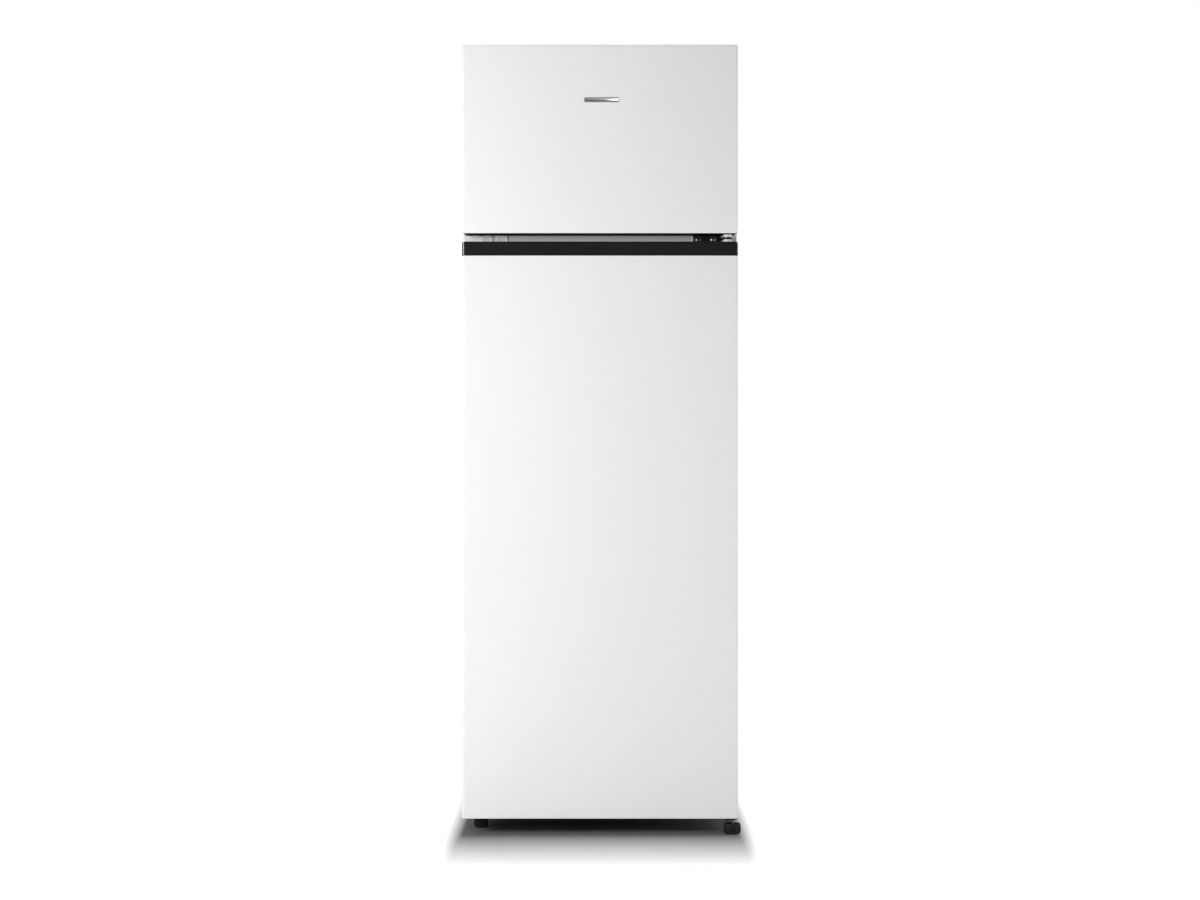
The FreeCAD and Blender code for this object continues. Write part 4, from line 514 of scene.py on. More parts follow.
def turned(profile, centre=(0, 0), axis="z", count=40):
    """Rings of circles: each step of the profile is a radius and a level."""
    rings = []
    for radius, level in profile:
        ring = []
        for k in range(count):
            angle = 2 * math.pi * k / count
            u = centre[0] + max(radius, 1e-5) * math.cos(angle)
            v = centre[1] + max(radius, 1e-5) * math.sin(angle)
            ring.append(spot(axis, u, v, level))
        rings.append(ring)
    return rings


def quarter(radius, steps=4, rising=True):
    """Insets and drops of a quarter round: pairs that go from the side to the top."""
    pairs = []
    for k in range(steps + 1):
        angle = k / steps * math.pi / 2
        pairs.append((radius * (1 - math.cos(angle)), radius * (1 - math.sin(angle))))
    return pairs if rising else pairs[::-1]


def bowl(low, high, wall, edge, floor_round):
    """Steps of an open tray: up the outside, over a round rim and down the inside."""
    steps = [(inset, low + drop) for inset, drop in quarter(floor_round, 4, False)]
    steps += [(inset, high - drop) for inset, drop in quarter(edge, 3)]
    steps += [(wall - inset, high - drop) for inset, drop in quarter(edge, 3, False)]
    inner = floor_round * 0.8
    steps += [(wall + inset, low + wall + drop) for inset, drop in quarter(inner, 4)]
    return steps


class Form:
    """A mesh being built from lofts of rings."""

    def __init__(self):
        self.bm = bmesh.new()

    def loft(self, rings, closed=False):
        """Joins the rings by faces, capped at both ends or closed round."""
        rows = [[self.bm.verts.new(point) for point in ring] for ring in rings]
        count = len(rows[0])
        pairs = list(zip(rows, rows[1:]))
        if closed:
            pairs.append((rows[-1], rows[0]))
        else:
            self.bm.faces.new(rows[0][::-1])
            self.bm.faces.new(rows[-1])
        for a, b in pairs:
            for k in range(count):
                following = (k + 1) % count
                self.bm.faces.new((a[k], a[following], b[following], b[k]))
        return [vert for row in rows for vert in row]

    def move(self, verts, shift):
        """Moves each vert by what the function shift gives for its place."""
        for vert in verts:
            vert.co += shift(vert.co)

    def mesh(self, name):
        """The finished mesh, its faces turned outward."""
        bmesh.ops.remove_doubles(self.bm, verts=self.bm.verts, dist=2e-6)
        bmesh.ops.recalc_face_normals(self.bm, faces=self.bm.faces)
        mesh = bpy.data.meshes.new(name)
        self.bm.to_mesh(mesh)
        self.bm.free()
        return mesh


def dress(piece, finish, body, nodes=()):
    """Gives a piece its material and body, and says which CAD nodes it stands for."""
    piece.data.materials.clear()
    piece.data.materials.append(material(finish))
    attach(piece, body)
    if nodes:
        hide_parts(*nodes)
    return piece


def shade(mesh, angle=35):
    """Smooth shading with sharp edges above an angle."""
    mesh.shade_smooth()
    mesh.set_sharp_from_angle(angle=math.radians(angle))


def piece_from(form, name, finish, body, nodes=(), angle=35):
    """An object from a form, shaded, dressed and linked."""
    mesh = form if isinstance(form, bpy.types.Mesh) else form.mesh(name)
    shade(mesh, angle)
    piece = bpy.data.objects.new(name, mesh)
    bpy.context.scene.collection.objects.link(piece)
    return dress(piece, finish, body, nodes)


def softened(node, finish, width, segments=2, angle=32):
    """A copy of a CAD node with merged faces and edges rounded by width mm, standing for that node."""
    source = frame["nodes"][node]
    bm = bmesh.new()
    bm.from_mesh(source.data)
    bmesh.ops.remove_doubles(bm, verts=bm.verts, dist=4e-6)
    bmesh.ops.dissolve_limit(bm, angle_limit=math.radians(0.6), verts=bm.verts, edges=bm.edges)
    mesh = bpy.data.meshes.new(f"{node}_finished")
    bm.to_mesh(mesh)
    bm.free()
    shade(mesh, angle)
    piece = bpy.data.objects.new(f"{node}_finished", mesh)
    bpy.context.scene.collection.objects.link(piece)
    if width:
        bevel = piece.modifiers.new("Rounded edges", "BEVEL")
        bevel.width = width * MM
        bevel.segments = segments
        bevel.limit_method = "ANGLE"
        bevel.angle_limit = math.radians(angle)
        bevel.use_clamp_overlap = True
        bevel.harden_normals = True
    return dress(piece, finish, source["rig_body"], (node,))


def without_box(mesh, low, high):
    """The mesh with a box cut out of it."""
    form = Form()
    form.loft(nested(low[:2], high[:2], 0, [(0, low[2]), (0, high[2])], "z", 1))
    cutter = bpy.data.objects.new("cutter", form.mesh("cutter"))
    blank = bpy.data.objects.new("blank", mesh)
    for each in (cutter, blank):
        bpy.context.scene.collection.objects.link(each)
    cut = blank.modifiers.new("Notch", "BOOLEAN")
    cut.operation = "DIFFERENCE"
    cut.solver = "EXACT"
    cut.object = cutter
    result = plain_mesh(blank)
    result.name = mesh.name
    bpy.data.objects.remove(cutter)
    bpy.data.objects.remove(blank)
    return result


def plain_mesh(thing):
    """An object's mesh with its modifiers worked in."""
    graph = bpy.context.evaluated_depsgraph_get()
    return bpy.data.meshes.new_from_object(thing.evaluated_get(graph))


def repaint(node, finish):
    """Gives a CAD node that keeps its shape a better material."""
    mesh = frame["nodes"][node].data
    mesh.materials.clear()
    mesh.materials.append(material(finish))


# ----------------------------------------------------------- repeated shapes


@cache
def copies_tree():
    """Geometry Nodes: a copy of a shape on each point, turned to the point's direction."""
    tree = bpy.data.node_groups.new("Copies on points", "GeometryNodeTree")
    face = tree.interface
    face.new_socket("Points", in_out="INPUT", socket_type="NodeSocketGeometry")
    face.new_socket("Shape", in_out="INPUT", socket_type="NodeSocketObject")
    scale = face.new_socket("Scale", in_out="INPUT", socket_type="NodeSocketFloat")
    scale.default_value = 1.0
    spin = face.new_socket("Spin", in_out="INPUT", socket_type="NodeSocketFloat")
    spin.default_value = 0.0
    seed = face.new_socket("Seed", in_out="INPUT", socket_type="NodeSocketInt")
    seed.default_value = 7
    face.new_socket("Material", in_out="INPUT", socket_type="NodeSocketMaterial")
    face.new_socket("Copies", in_out="OUTPUT", socket_type="NodeSocketGeometry")
    node = {}
    for key, kind in (
        ("given", "NodeGroupInput"),
        ("result", "NodeGroupOutput"),
        ("shape", "GeometryNodeObjectInfo"),
        ("direction", "GeometryNodeInputNamedAttribute"),
        ("turn", "FunctionNodeAlignRotationToVector"),
        ("random", "FunctionNodeRandomValue"),
        ("angle", "ShaderNodeCombineXYZ"),
        ("twist", "FunctionNodeRotateRotation"),
        ("place", "GeometryNodeInstanceOnPoints"),
        ("real", "GeometryNodeRealizeInstances"),
        ("paint", "GeometryNodeSetMaterial"),
    ):
        node[key] = tree.nodes.new(kind)
    node["direction"].data_type = "FLOAT_VECTOR"
    node["direction"].inputs["Name"].default_value = "direction"
    node["twist"].rotation_space = "LOCAL"
    given, join = node["given"].outputs, tree.links.new
    join(given["Shape"], node["shape"].inputs["Object"])
    join(node["direction"].outputs["Attribute"], node["turn"].inputs["Vector"])
    random_outputs = [socket for socket in node["random"].outputs if socket.type == "VALUE"]
    random_inputs = [socket for socket in node["random"].inputs if socket.type == "VALUE"]
    join(given["Spin"], random_inputs[1])
    random_inputs[0].default_value = 0.0
    join(given["Seed"], node["random"].inputs["Seed"])
    join(random_outputs[0], node["angle"].inputs["Z"])
    join(node["turn"].outputs["Rotation"], node["twist"].inputs["Rotation"])
    join(node["angle"].outputs["Vector"], node["twist"].inputs["Rotate By"])
    join(given["Points"], node["place"].inputs["Points"])
    join(node["shape"].outputs["Geometry"], node["place"].inputs["Instance"])
    join(node["twist"].outputs["Rotation"], node["place"].inputs["Rotation"])
    join(given["Scale"], node["place"].inputs["Scale"])
    join(node["place"].outputs["Instances"], node["real"].inputs["Geometry"])
    join(node["real"].outputs["Geometry"], node["paint"].inputs["Geometry"])
    join(given["Material"], node["paint"].inputs["Material"])
    join(node["paint"].outputs["Geometry"], node["result"].inputs["Copies"])
    return tree


def copies(name, shape, places, finish, body, nodes=(), spin=0.0, angle=35):
    """Copies of a form at (point, direction) places, as one plain mesh."""
    shape_mesh = shape.mesh(f"{name}_shape")
    shape_object = bpy.data.objects.new(f"{name}_shape", shape_mesh)
    points = bpy.data.meshes.new(f"{name}_points")
    points.from_pydata([point for point, _ in places], [], [])
    ways = points.attributes.new("direction", "FLOAT_VECTOR", "POINT")
    for datum, (_, way) in zip(ways.data, places):
        datum.vector = way
    piece = bpy.data.objects.new(f"{name}_points", points)
    bpy.context.scene.collection.objects.link(piece)
    tree = copies_tree()
    modifier = piece.modifiers.new("Copies", "NODES")
    modifier.node_group = tree
    keys = {item.name: item.identifier for item in tree.interface.items_tree if item.in_out == "INPUT"}
    modifier[keys["Shape"]] = shape_object
    modifier[keys["Spin"]] = spin
    modifier[keys["Material"]] = material(finish)
    mesh = plain_mesh(piece)
    mesh.name = name
    bpy.data.objects.remove(piece)
    bpy.data.objects.remove(shape_object)
    return piece_from(mesh, name, finish, body, nodes, angle)


def cross_ring(reach, arm, level, count=48):
    """A ring shaped like a cross recess."""
    ring = []
    for k in range(count):
        angle = 2 * math.pi * k / count
        off = (angle + math.pi / 4) % (math.pi / 2) - math.pi / 4
        radius = min(reach / math.cos(off), arm / max(abs(math.sin(off)), 1e-3))
        ring.append(Vector((radius * math.cos(angle), radius * math.sin(angle), level)))
    return ring


def screw_form(head, height, shank, depth, flange=0.0):
    """A pan-head screw with a cross recess, pointing up, its seat at the origin."""
    form = Form()
    half = head / 2
    profile = [(shank / 2, -depth), (shank / 2, 0)]
    if flange:
        edge = ((-0.3, 0), (0, 0.3), (0, 1.1), (-0.4, 1.4))
        profile += [(flange + reach * MM, level * MM) for reach, level in edge]
    base = 1.4 * MM if flange else 0.0
    profile += [(half, base), (half, base + height * 0.35), (half * 0.93, base + height * 0.66)]
    profile += [(half * 0.76, base + height * 0.88), (half * 0.62, base + height * 0.97)]
    rings = turned(profile, count=48)
    top = base + height
    rings.append(cross_ring(half * 0.55, half * 0.15, top))
    rings.append(cross_ring(half * 0.5, half * 0.12, top - height * 0.25))
    rings.append(cross_ring(half * 0.2, half * 0.08, top - height * 0.62))
    form.loft(rings)
    return form


# --------------------------------------------------------------------- doors


def skin_ring(half, front, back, bend, sheet, level, steps=6):
    """The folded skin's section at a height: out along the front and sides, back inside."""
    ring = []
    for reach, face, radius, way in (
        (half, front, bend, 1),
        (half - sheet, front + sheet, bend - sheet, -1),
    ):
        path = [Vector((-reach, back, level))]
        for k in range(steps + 1):
            angle = math.pi + k / steps * math.pi / 2
            across = -reach + radius + radius * math.cos(angle)
            path.append(Vector((across, face + radius + radius * math.sin(angle), level)))
        mirrored = [Vector((-point.x, point.y, level)) for point in path[::-1]]
        ring += (path + mirrored)[::way]
    return ring


def door_skin(name, node, clipped, body):
    """One door skin, rolled at its ends; a clipped one has curved lower corners and the hinge's notch."""
    doors = bpy.context.scene.fridge_doors
    low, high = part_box(node)
    front, back = low.y, high.y
    hem = doors.hem

    def ring(level, tuck, sink=0.0):
        return skin_ring(high.x - tuck, front + sink, back, doors.bend, doors.sheet, level)

    if clipped:
        rings = [ring(low.z + rise, tuck, max(hem - rise, 0)) for rise, tuck in quarter(doors.bend, 6)]
    else:
        rings = [ring(low.z + drop, inset, inset) for inset, drop in quarter(hem, 4, False)]
    rings += [ring(high.z - drop, inset, inset) for inset, drop in quarter(hem, 4)]
    form = Form()
    form.loft(rings)
    mesh = form.mesh(name)
    if clipped:
        near = (high.x - doors.notch, front + 6 * MM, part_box("outer_wrap")[1].z - 4 * MM)
        past = 10 * MM
        mesh = without_box(mesh, near, (high.x + past, back + past, high.z + past))
    return piece_from(mesh, name, "enamel", body, (node,), 40)


class DoorSkins(bpy.types.Operator):
    """Builds the enamelled steel skins of both doors"""

    bl_idname = "refrigerator.door_skins"
    bl_label = "Door skins"

    def execute(self, context):
        door_skin("freezer_door_front", "freezer_door_skin", True, FREEZER)
        door_skin("fridge_door_front", "fridge_door_skin", False, FRIDGE)
        return {"FINISHED"}


class DoorCaps(bpy.types.Operator):
    """Finishes the moulded caps at the doors' ends, the black grip among them"""

    bl_idname = "refrigerator.door_caps"
    bl_label = "Door caps"

    def execute(self, context):
        softened("freezer_door_top_cap", "trim", 0.5)
        softened("fridge_door_bottom_cap", "trim", 0.5)
        # The freezer door's bottom cap is black plastic; its black also stands for the shade in the gap under
        # the door, partly painted shade.
        softened("freezer_door_bottom_cap", "matt", 0.5)
        softened("handle_cap", "grip", 0.7, 3)
        return {"FINISHED"}


def door_liner(name, node, body):
    """A vacuum-formed door liner with its raised rim, as one closed moulding."""
    doors = bpy.context.scene.fridge_doors
    low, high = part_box(node)
    back = low.y + 2 * MM
    crest = high.y
    soft, draft = doors.mould, doors.draft
    rim_low, rim_high = RIMS[body]
    band = 24 * MM

    def ring(inset, level, radius):
        return rounded(
            (rim_low[0] + inset, rim_low[1] + inset),
            (rim_high[0] - inset, rim_high[1] - inset),
            radius,
            level,
            "y",
            6,
        )

    rings = [
        rounded((low.x + inset, low.z + inset), (high.x - inset, high.z - inset), 1.2 * MM, level, "y", 6)
        for inset, level in ((0, low.y), (0, back - 0.4 * MM), (0.4 * MM, back))
    ]
    rings.append(ring(-0.2 * MM, back, 14 * MM))
    for inset, drop in quarter(soft, 5):
        rings.append(ring(0.3 * MM + draft * 0.4 + inset, crest - drop, 14 * MM - inset * 0.5))
    for inset, drop in quarter(soft, 5, False):
        rings.append(ring(band - draft * 0.4 - 0.3 * MM - inset, crest - drop, 8 * MM + inset * 0.5))
    rings.append(ring(band - 0.2 * MM, back + 3 * MM, 7 * MM))
    rings.append(ring(band + 1.2 * MM, back + 0.9 * MM, 6 * MM))
    rings.append(ring(band + 4 * MM, back + 0.2 * MM, 5 * MM))
    form = Form()
    form.loft(rings)
    return piece_from(form, name, "liner", body, (node,), 30)


def door_foam(name, node, body):
    """The foam inside a door: a slab, and the filling of the liner's raised rim."""
    low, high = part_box(node)
    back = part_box(node.replace("foam", "liner"))[0].y
    crest = high.y - 5 * MM
    (left, floor), (right, top) = RIMS[body]
    form = Form()
    slab = [(7, 0.5), (2.5, 2.5), (0.8, 7)]
    rings = [(inset * MM, low.y + level * MM) for inset, level in slab] + [(0.8 * MM, back - 0.1 * MM)]
    form.loft(nested((low.x, low.z), (high.x, high.z), 8 * MM, rings, "y", 4))
    turn = crest - 2 * MM
    rim = [(7, back), (7, turn), (9, crest), (15, crest), (17, turn), (17, back)]
    rings = [(inset * MM, level) for inset, level in rim]
    form.loft(nested((left, floor), (right, top), 20 * MM, rings, "y", 6), closed=True)
    piece_from(form, name, "foam", body, (node,))


def rim_box(node, side):
    """The raised rim's outline on a door, from the compartment it closes."""
    low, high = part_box(node)
    end = LIP + 16 * MM
    return (low.x + side, low.z + end), (high.x - side, high.z - end)


LIP = 8 * MM
RIMS = {FREEZER: rim_box("freezer_liner", 39 * MM), FRIDGE: rim_box("fridge_liner", 25 * MM)}


class DoorLiners(bpy.types.Operator):
    """Builds the moulded inner faces of both doors and the foam behind them"""

    bl_idname = "refrigerator.door_liners"
    bl_label = "Door liners"

    def execute(self, context):
        for body in (FREEZER, FRIDGE):
            door_liner(f"{body}_inner", f"{body}_liner", body)
        for body in (FREEZER, FRIDGE):
            door_foam(f"{body}_filling", f"{body}_foam", body)
        return {"FINISHED"}


class Gaskets(bpy.types.Operator):
    """Builds the bellows and magnet lips of both door seals"""

    bl_idname = "refrigerator.gaskets"
    bl_label = "Door seals"

    def execute(self, context):
        for node, body in (("freezer_door_gasket", FREEZER), ("fridge_door_gasket", FRIDGE)):
            low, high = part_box(node)
            base, lip = low.y, high.y
            profile = [
                (3.4, base),
                (2.9, base + 2.2 * MM),
                (4.6, base + 3.4 * MM),
                (1.2, base + 5.0 * MM),
                (0.3, base + 6.6 * MM),
                (0.0, lip - 1.4 * MM),
                (0.5, lip - 0.4 * MM),
                (1.6, lip),
                (8.6, lip),
                (9.0, lip - 0.35 * MM),
                (9.4, lip),
                (16.4, lip),
                (17.5, lip - 0.4 * MM),
                (18.0, lip - 1.4 * MM),
                (17.7, base + 6.6 * MM),
                (16.8, base + 5.0 * MM),
                (13.4, base + 3.4 * MM),
                (15.1, base + 2.2 * MM),
                (14.6, base),
            ]
            steps = [(inset * MM, level) for inset, level in profile]
            form = Form()
            form.loft(nested((low.x, low.z), (high.x, high.z), 4 * MM, steps, "y", 4), closed=True)
            piece_from(form, f"{body}_seal", "seal", body, (node,), 28)
        return {"FINISHED"}


def lowered(near, far, top, drop):
    """A shift that lowers a rack's rim from near to far, in a soft S."""

    def shift(place):
        share = min(max((place.y - near) / (far - near), 0), 1)
        ease = share * share * (3 - 2 * share)
        weight = min(max((place.z - (top - 20 * MM)) / (16 * MM), 0), 1)
        return Vector((0, 0, -drop * ease * weight))

    return shift


def rack(form, low, high, drop, radius):
    """One open rack between two corners, its front lower than its back."""
    wall = 2.2 * MM
    rings = nested(
        (low.x, low.y), (high.x, high.y), radius, bowl(low.z, high.z, wall, 1.0 * MM, 4 * MM), "z", 6
    )
    verts = form.loft(rings)
    form.move(verts, lowered(low.y + 44 * MM, high.y - 14 * MM, high.z, drop))


def rack_lip(form, low, high, drop, radius):
    """A thicker bead along the outside of a rack's rim."""
    bead = [(-1.6, -2.6), (-2.1, -1.2), (-1.6, -0.2), (-0.2, 0.1), (0.6, -1.4), (-0.2, -2.9)]
    steps = [(inset * MM, high.z + rise * MM) for inset, rise in bead]
    inset = 2.1 * MM
    rings = nested(
        (low.x + inset, low.y + inset), (high.x - inset, high.y - inset), radius, steps, "z", 6
    )
    verts = form.loft(rings, closed=True)
    form.move(verts, lowered(low.y + 44 * MM, high.y - 14 * MM, high.z, drop))


class DoorRacks(bpy.types.Operator):
    """Builds the racks that hang in the doors"""

    bl_idname = "refrigerator.door_racks"
    bl_label = "Door racks"

    def execute(self, context):
        radius = context.scene.fridge_doors.rack_round
        for node, drop in (("door_rack_upper", 12), ("door_rack_middle", 12), ("bottle_rack", 20)):
            low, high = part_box(node)
            form = Form()
            rack(form, low, high, drop * MM, radius)
            rack_lip(form, low, high, drop * MM, radius)
            piece_from(form, f"{node}_clear", "clear", FRIDGE, (node,))
        low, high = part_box("freezer_door_racks")
        height = 52 * MM
        form = Form()
        for floor in (low.z, high.z - height):
            near = Vector((low.x, low.y, floor))
            far = Vector((high.x, high.y, floor + height))
            rack(form, near, far, 10 * MM, radius)
            rack_lip(form, near, far, 10 * MM, radius)
        nodes = ("freezer_door_racks",)
        piece_from(form, "freezer_door_racks_clear", "clear", FREEZER, nodes)
        return {"FINISHED"}


class Badge(bpy.types.Operator):
    """Builds the blank metal plate on the freezer door"""

    bl_idname = "refrigerator.badge"
    bl_label = "Blank badge"

    def execute(self, context):
        low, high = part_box("badge")
        steps = [(0.0, high.y), (0.0, low.y + 0.5 * MM), (0.25 * MM, low.y + 0.1 * MM), (0.7 * MM, low.y)]
        steps += [(1.5 * MM, low.y), (1.8 * MM, low.y + 0.2 * MM)]
        form = Form()
        form.loft(nested((low.x, low.z), (high.x, high.z), 3 * MM, steps, "y", 6))
        piece_from(form, "blank_badge", "bright", FREEZER, ("badge",))
        return {"FINISHED"}


# ------------------------------------------------------------------- cabinet


class CabinetShell(bpy.types.Operator):
    """Finishes the outer wrap, the back with its beads, the deck and the middle rail"""

    bl_idname = "refrigerator.cabinet_shell"
    bl_label = "Cabinet shell"

    def execute(self, context):
        cabinet = context.scene.fridge_cabinet
        softened("outer_wrap", "enamel", cabinet.crease * 0.5 / MM)
        softened("mullion_strip", "rail", 0.2)
        self.rail_end()
        softened("bottom_deck", "steel", 0.2)
        softened("compressor_base", "steel", 0.4)
        self.back(cabinet)
        return {"FINISHED"}

    def back(self, cabinet):
        """The back sheet with its rows of pressed beads."""
        low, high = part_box("back_panel")
        face = low.y + 0.8 * MM
        form = Form()
        steps = [(0.3 * MM, low.y), (0.0, low.y + 0.3 * MM), (0.0, face - 0.3 * MM), (0.3 * MM, face)]
        form.loft(nested((low.x, low.z), (high.x, high.z), 3 * MM, steps, "y", 3))
        piece_from(form, "back_sheet", "back", CABINET, ("back_panel",))
        bead = Form()
        width, rise = cabinet.bead_width, high.y - face
        curve = ((1.6, 0.45), (3.2, 0.85), (4.6, 1.0))
        profile = [(0.0, -0.2 * MM), (0.0, 0.0)] + [(inset * MM, rise * share) for inset, share in curve]
        reach = 206 * MM
        bead.loft(nested((-reach, -width / 2), (reach, width / 2), width / 2, profile, "z", 6))
        rows = cabinet.bead_rows
        first, last = low.z + 94 * MM, high.z - 72 * MM
        levels = [first + (last - first) * k / (rows - 1) for k in range(rows)]
        places = [(Vector((0, face, level)), Vector((0, 1, 0))) for level in levels]
        copies("back_beads", bead, places, "back", CABINET)

    def rail_end(self):
        """The light end clip of the rail, beside the hinge's plate."""
        low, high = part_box("mullion_strip")
        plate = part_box("middle_hinge")[0].x
        steps = [(0.0, low.y + 0.2 * MM), (0.0, low.y - 0.6 * MM), (0.5 * MM, low.y - 1.2 * MM)]
        form = Form()
        form.loft(nested((plate - 4.2 * MM, low.z), (plate - 0.4 * MM, high.z), 1 * MM, steps, "y", 3))
        piece_from(form, "rail_end_clip", "trim", CABINET)


def soft_cavity(profile, half, radius, name):
    """The inside of a moulded compartment: a side outline swept across, its edges rounded."""
    bm = bmesh.new()
    left = [bm.verts.new((-half, y, z)) for y, z in profile]
    right = [bm.verts.new((half, y, z)) for y, z in profile]
    count = len(profile)
    bm.faces.new(left)
    bm.faces.new(right[::-1])
    mouth = None
    for k in range(count):
        face = bm.faces.new((left[k], right[k], right[(k + 1) % count], left[(k + 1) % count]))
        if k == count - 1:
            mouth = face
    open_edges = set(mouth.edges)
    bmesh.ops.recalc_face_normals(bm, faces=bm.faces)
    bmesh.ops.delete(bm, geom=[mouth], context="FACES_ONLY")
    bmesh.ops.bevel(
        bm,
        geom=[edge for edge in bm.edges if edge not in open_edges],
        offset=radius,
        segments=6,
        profile=0.5,
        affect="EDGES",
        clamp_overlap=False,
    )
    bmesh.ops.remove_doubles(bm, verts=bm.verts, dist=1e-6)
    bmesh.ops.reverse_faces(bm, faces=bm.faces)
    mesh = bpy.data.meshes.new(name)
    bm.to_mesh(mesh)
    bm.free()
    return mesh


def cavity_piece(name, profile, half, radius, node):
    """A liner: the soft cavity with a wall behind it."""
    mesh = soft_cavity(profile, half, radius, name)
    shade(mesh, 30)
    piece = bpy.data.objects.new(name, mesh)
    bpy.context.scene.collection.objects.link(piece)
    wall = piece.modifiers.new("Wall", "SOLIDIFY")
    wall.thickness = 1.6 * MM
    wall.offset = -1
    return dress(piece, "liner", CABINET, (node,))


def liner_lip(name, node, mouth_low, mouth_high, radius):
    """The flat lip of a liner round its mouth."""
    low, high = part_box(node)
    face = low.y

    def ring(near, far, corner, inset, drop):
        near = (near[0] + inset * MM, near[1] + inset * MM)
        far = (far[0] - inset * MM, far[1] - inset * MM)
        return rounded(near, far, corner, face + drop * MM, "y", 6)

    outside = ((0, 0.7), (0, 0.25), (0.25, 0))
    inside = ((-1.6, 0.0), (-0.6, 0.4), (0.0, 1.6), (0.02, 4.0), (-1.0, 4.0), (-1.6, 0.9))
    rings = [ring((low.x, low.z), (high.x, high.z), 3 * MM, *step) for step in outside]
    rings += [ring(mouth_low, mouth_high, radius, *step) for step in inside]
    form = Form()
    form.loft(rings, closed=True)
    return piece_from(form, name, "liner", CABINET)


class CabinetLiners(bpy.types.Operator):
    """Builds the two moulded compartments with their shelf ledges"""

    bl_idname = "refrigerator.cabinet_liners"
    bl_label = "Compartments"

    def execute(self, context):
        radius = context.scene.fridge_cabinet.liner_round
        wall = 2 * MM
        low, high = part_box("freezer_liner")
        shelf_low, shelf_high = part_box("freezer_shelf")
        front, rear = low.y, high.y - wall
        half = shelf_high.x + 1.5 * MM
        floor, ceiling = low.z + LIP + wall, high.z - LIP - wall
        profile = [(front, floor), (rear, floor), (rear, ceiling), (front, ceiling)]
        cavity_piece("freezer_compartment", profile, half, radius, "freezer_liner")
        liner_lip("freezer_mouth", "freezer_liner", (-half, floor), (half, ceiling), 1 * MM)
        middle = (shelf_low.y + shelf_high.y) / 2
        places = [
            (Vector((side * half, middle, shelf_low.z - 3.5 * MM)), Vector((-side, 0, 0))) for side in (-1, 1)
        ]
        self.ledges("freezer_ledges", places, shelf_high.y - shelf_low.y - 6 * MM)
        low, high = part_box("fridge_liner")
        lid_low, lid_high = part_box("crisper_lid")
        lowest_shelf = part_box("glass_shelves")[0].z
        half = lid_high.x + 1.5 * MM
        front, rear = low.y, high.y - wall
        floor, ceiling = low.z + LIP + wall, high.z - LIP - wall
        step_front, step_rear, step_top = step_over_bay()
        profile = [
            (front, floor),
            (step_front - wall, floor),
            (step_rear - wall, step_top + wall),
            (rear, step_top + wall),
            (rear, ceiling),
            (front, ceiling),
        ]
        cavity_piece("fridge_compartment", profile, half, radius, "fridge_liner")
        liner_lip("fridge_mouth", "fridge_liner", (-half, floor), (half, ceiling), 1 * MM)
        span = lid_high.y - lid_low.y - 8 * MM
        middle = (lid_low.y + lid_high.y) / 2
        levels = [lid_low.z] + [lowest_shelf + k * 95 * MM for k in range(6)]
        places = [
            (Vector((side * half, middle, z - 3.5 * MM)), Vector((-side, 0, 0)))
            for side in (-1, 1)
            for z in levels
        ]
        self.ledges("fridge_ledges", places, span)
        self.back_plate(rear, lowest_shelf + 150 * MM, ceiling - 60 * MM)
        return {"FINISHED"}

    def ledges(self, name, places, span):
        """Each ledge runs along Y, so it is built where it stands."""
        form = Form()
        for point, way in places:
            steps = [(0.0, -1.0 * MM), (0.0, 6 * MM)]
            steps += [(inset, 9 * MM - drop) for inset, drop in quarter(3 * MM, 4)]
            low = (point.y - span / 2, point.z - 3.5 * MM)
            high = (point.y + span / 2, point.z + 3.5 * MM)
            levels = [(inset, point.x + way.x * level) for inset, level in steps]
            form.loft(nested(low, high, 3.5 * MM, levels, "x", 4))
        piece_from(form, name, "liner", CABINET)

    def back_plate(self, rear, floor, top):
        """The slightly raised cold wall at the back of the fridge compartment."""
        form = Form()
        steps = [(0.0, rear + 0.5 * MM), (0.0, rear)]
        steps += [(3 * MM + inset, rear - 2.4 * MM + drop) for inset, drop in quarter(1.4 * MM, 3)]
        form.loft(nested((-0.185, floor), (0.185, top), 22 * MM, steps, "y", 8))
        piece_from(form, "cold_wall", "liner", CABINET)


def step_over_bay():
    """The front, rear and top of the liner's step over the compressor bay."""
    wall = 36 * MM
    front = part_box("compressor_base")[0].y - 6 * MM
    return front - wall, front + 22 * MM - wall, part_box("bottom_deck")[1].z - 0.8 * MM + wall


class Hinges(bpy.types.Operator):
    """Finishes the hinges, the cover and the bushes"""

    bl_idname = "refrigerator.hinges"
    bl_label = "Hinges"

    def execute(self, context):
        softened("upper_hinge", "zinc", 0.3)
        softened("upper_hinge_cover", "trim", 0)
        softened("middle_hinge", "black_steel", 0.4)
        softened("lower_hinge", "black_steel", 0.4)
        softened("freezer_door_bushes", "trim", 0.2)
        softened("fridge_door_bushes", "trim", 0.2)
        return {"FINISHED"}


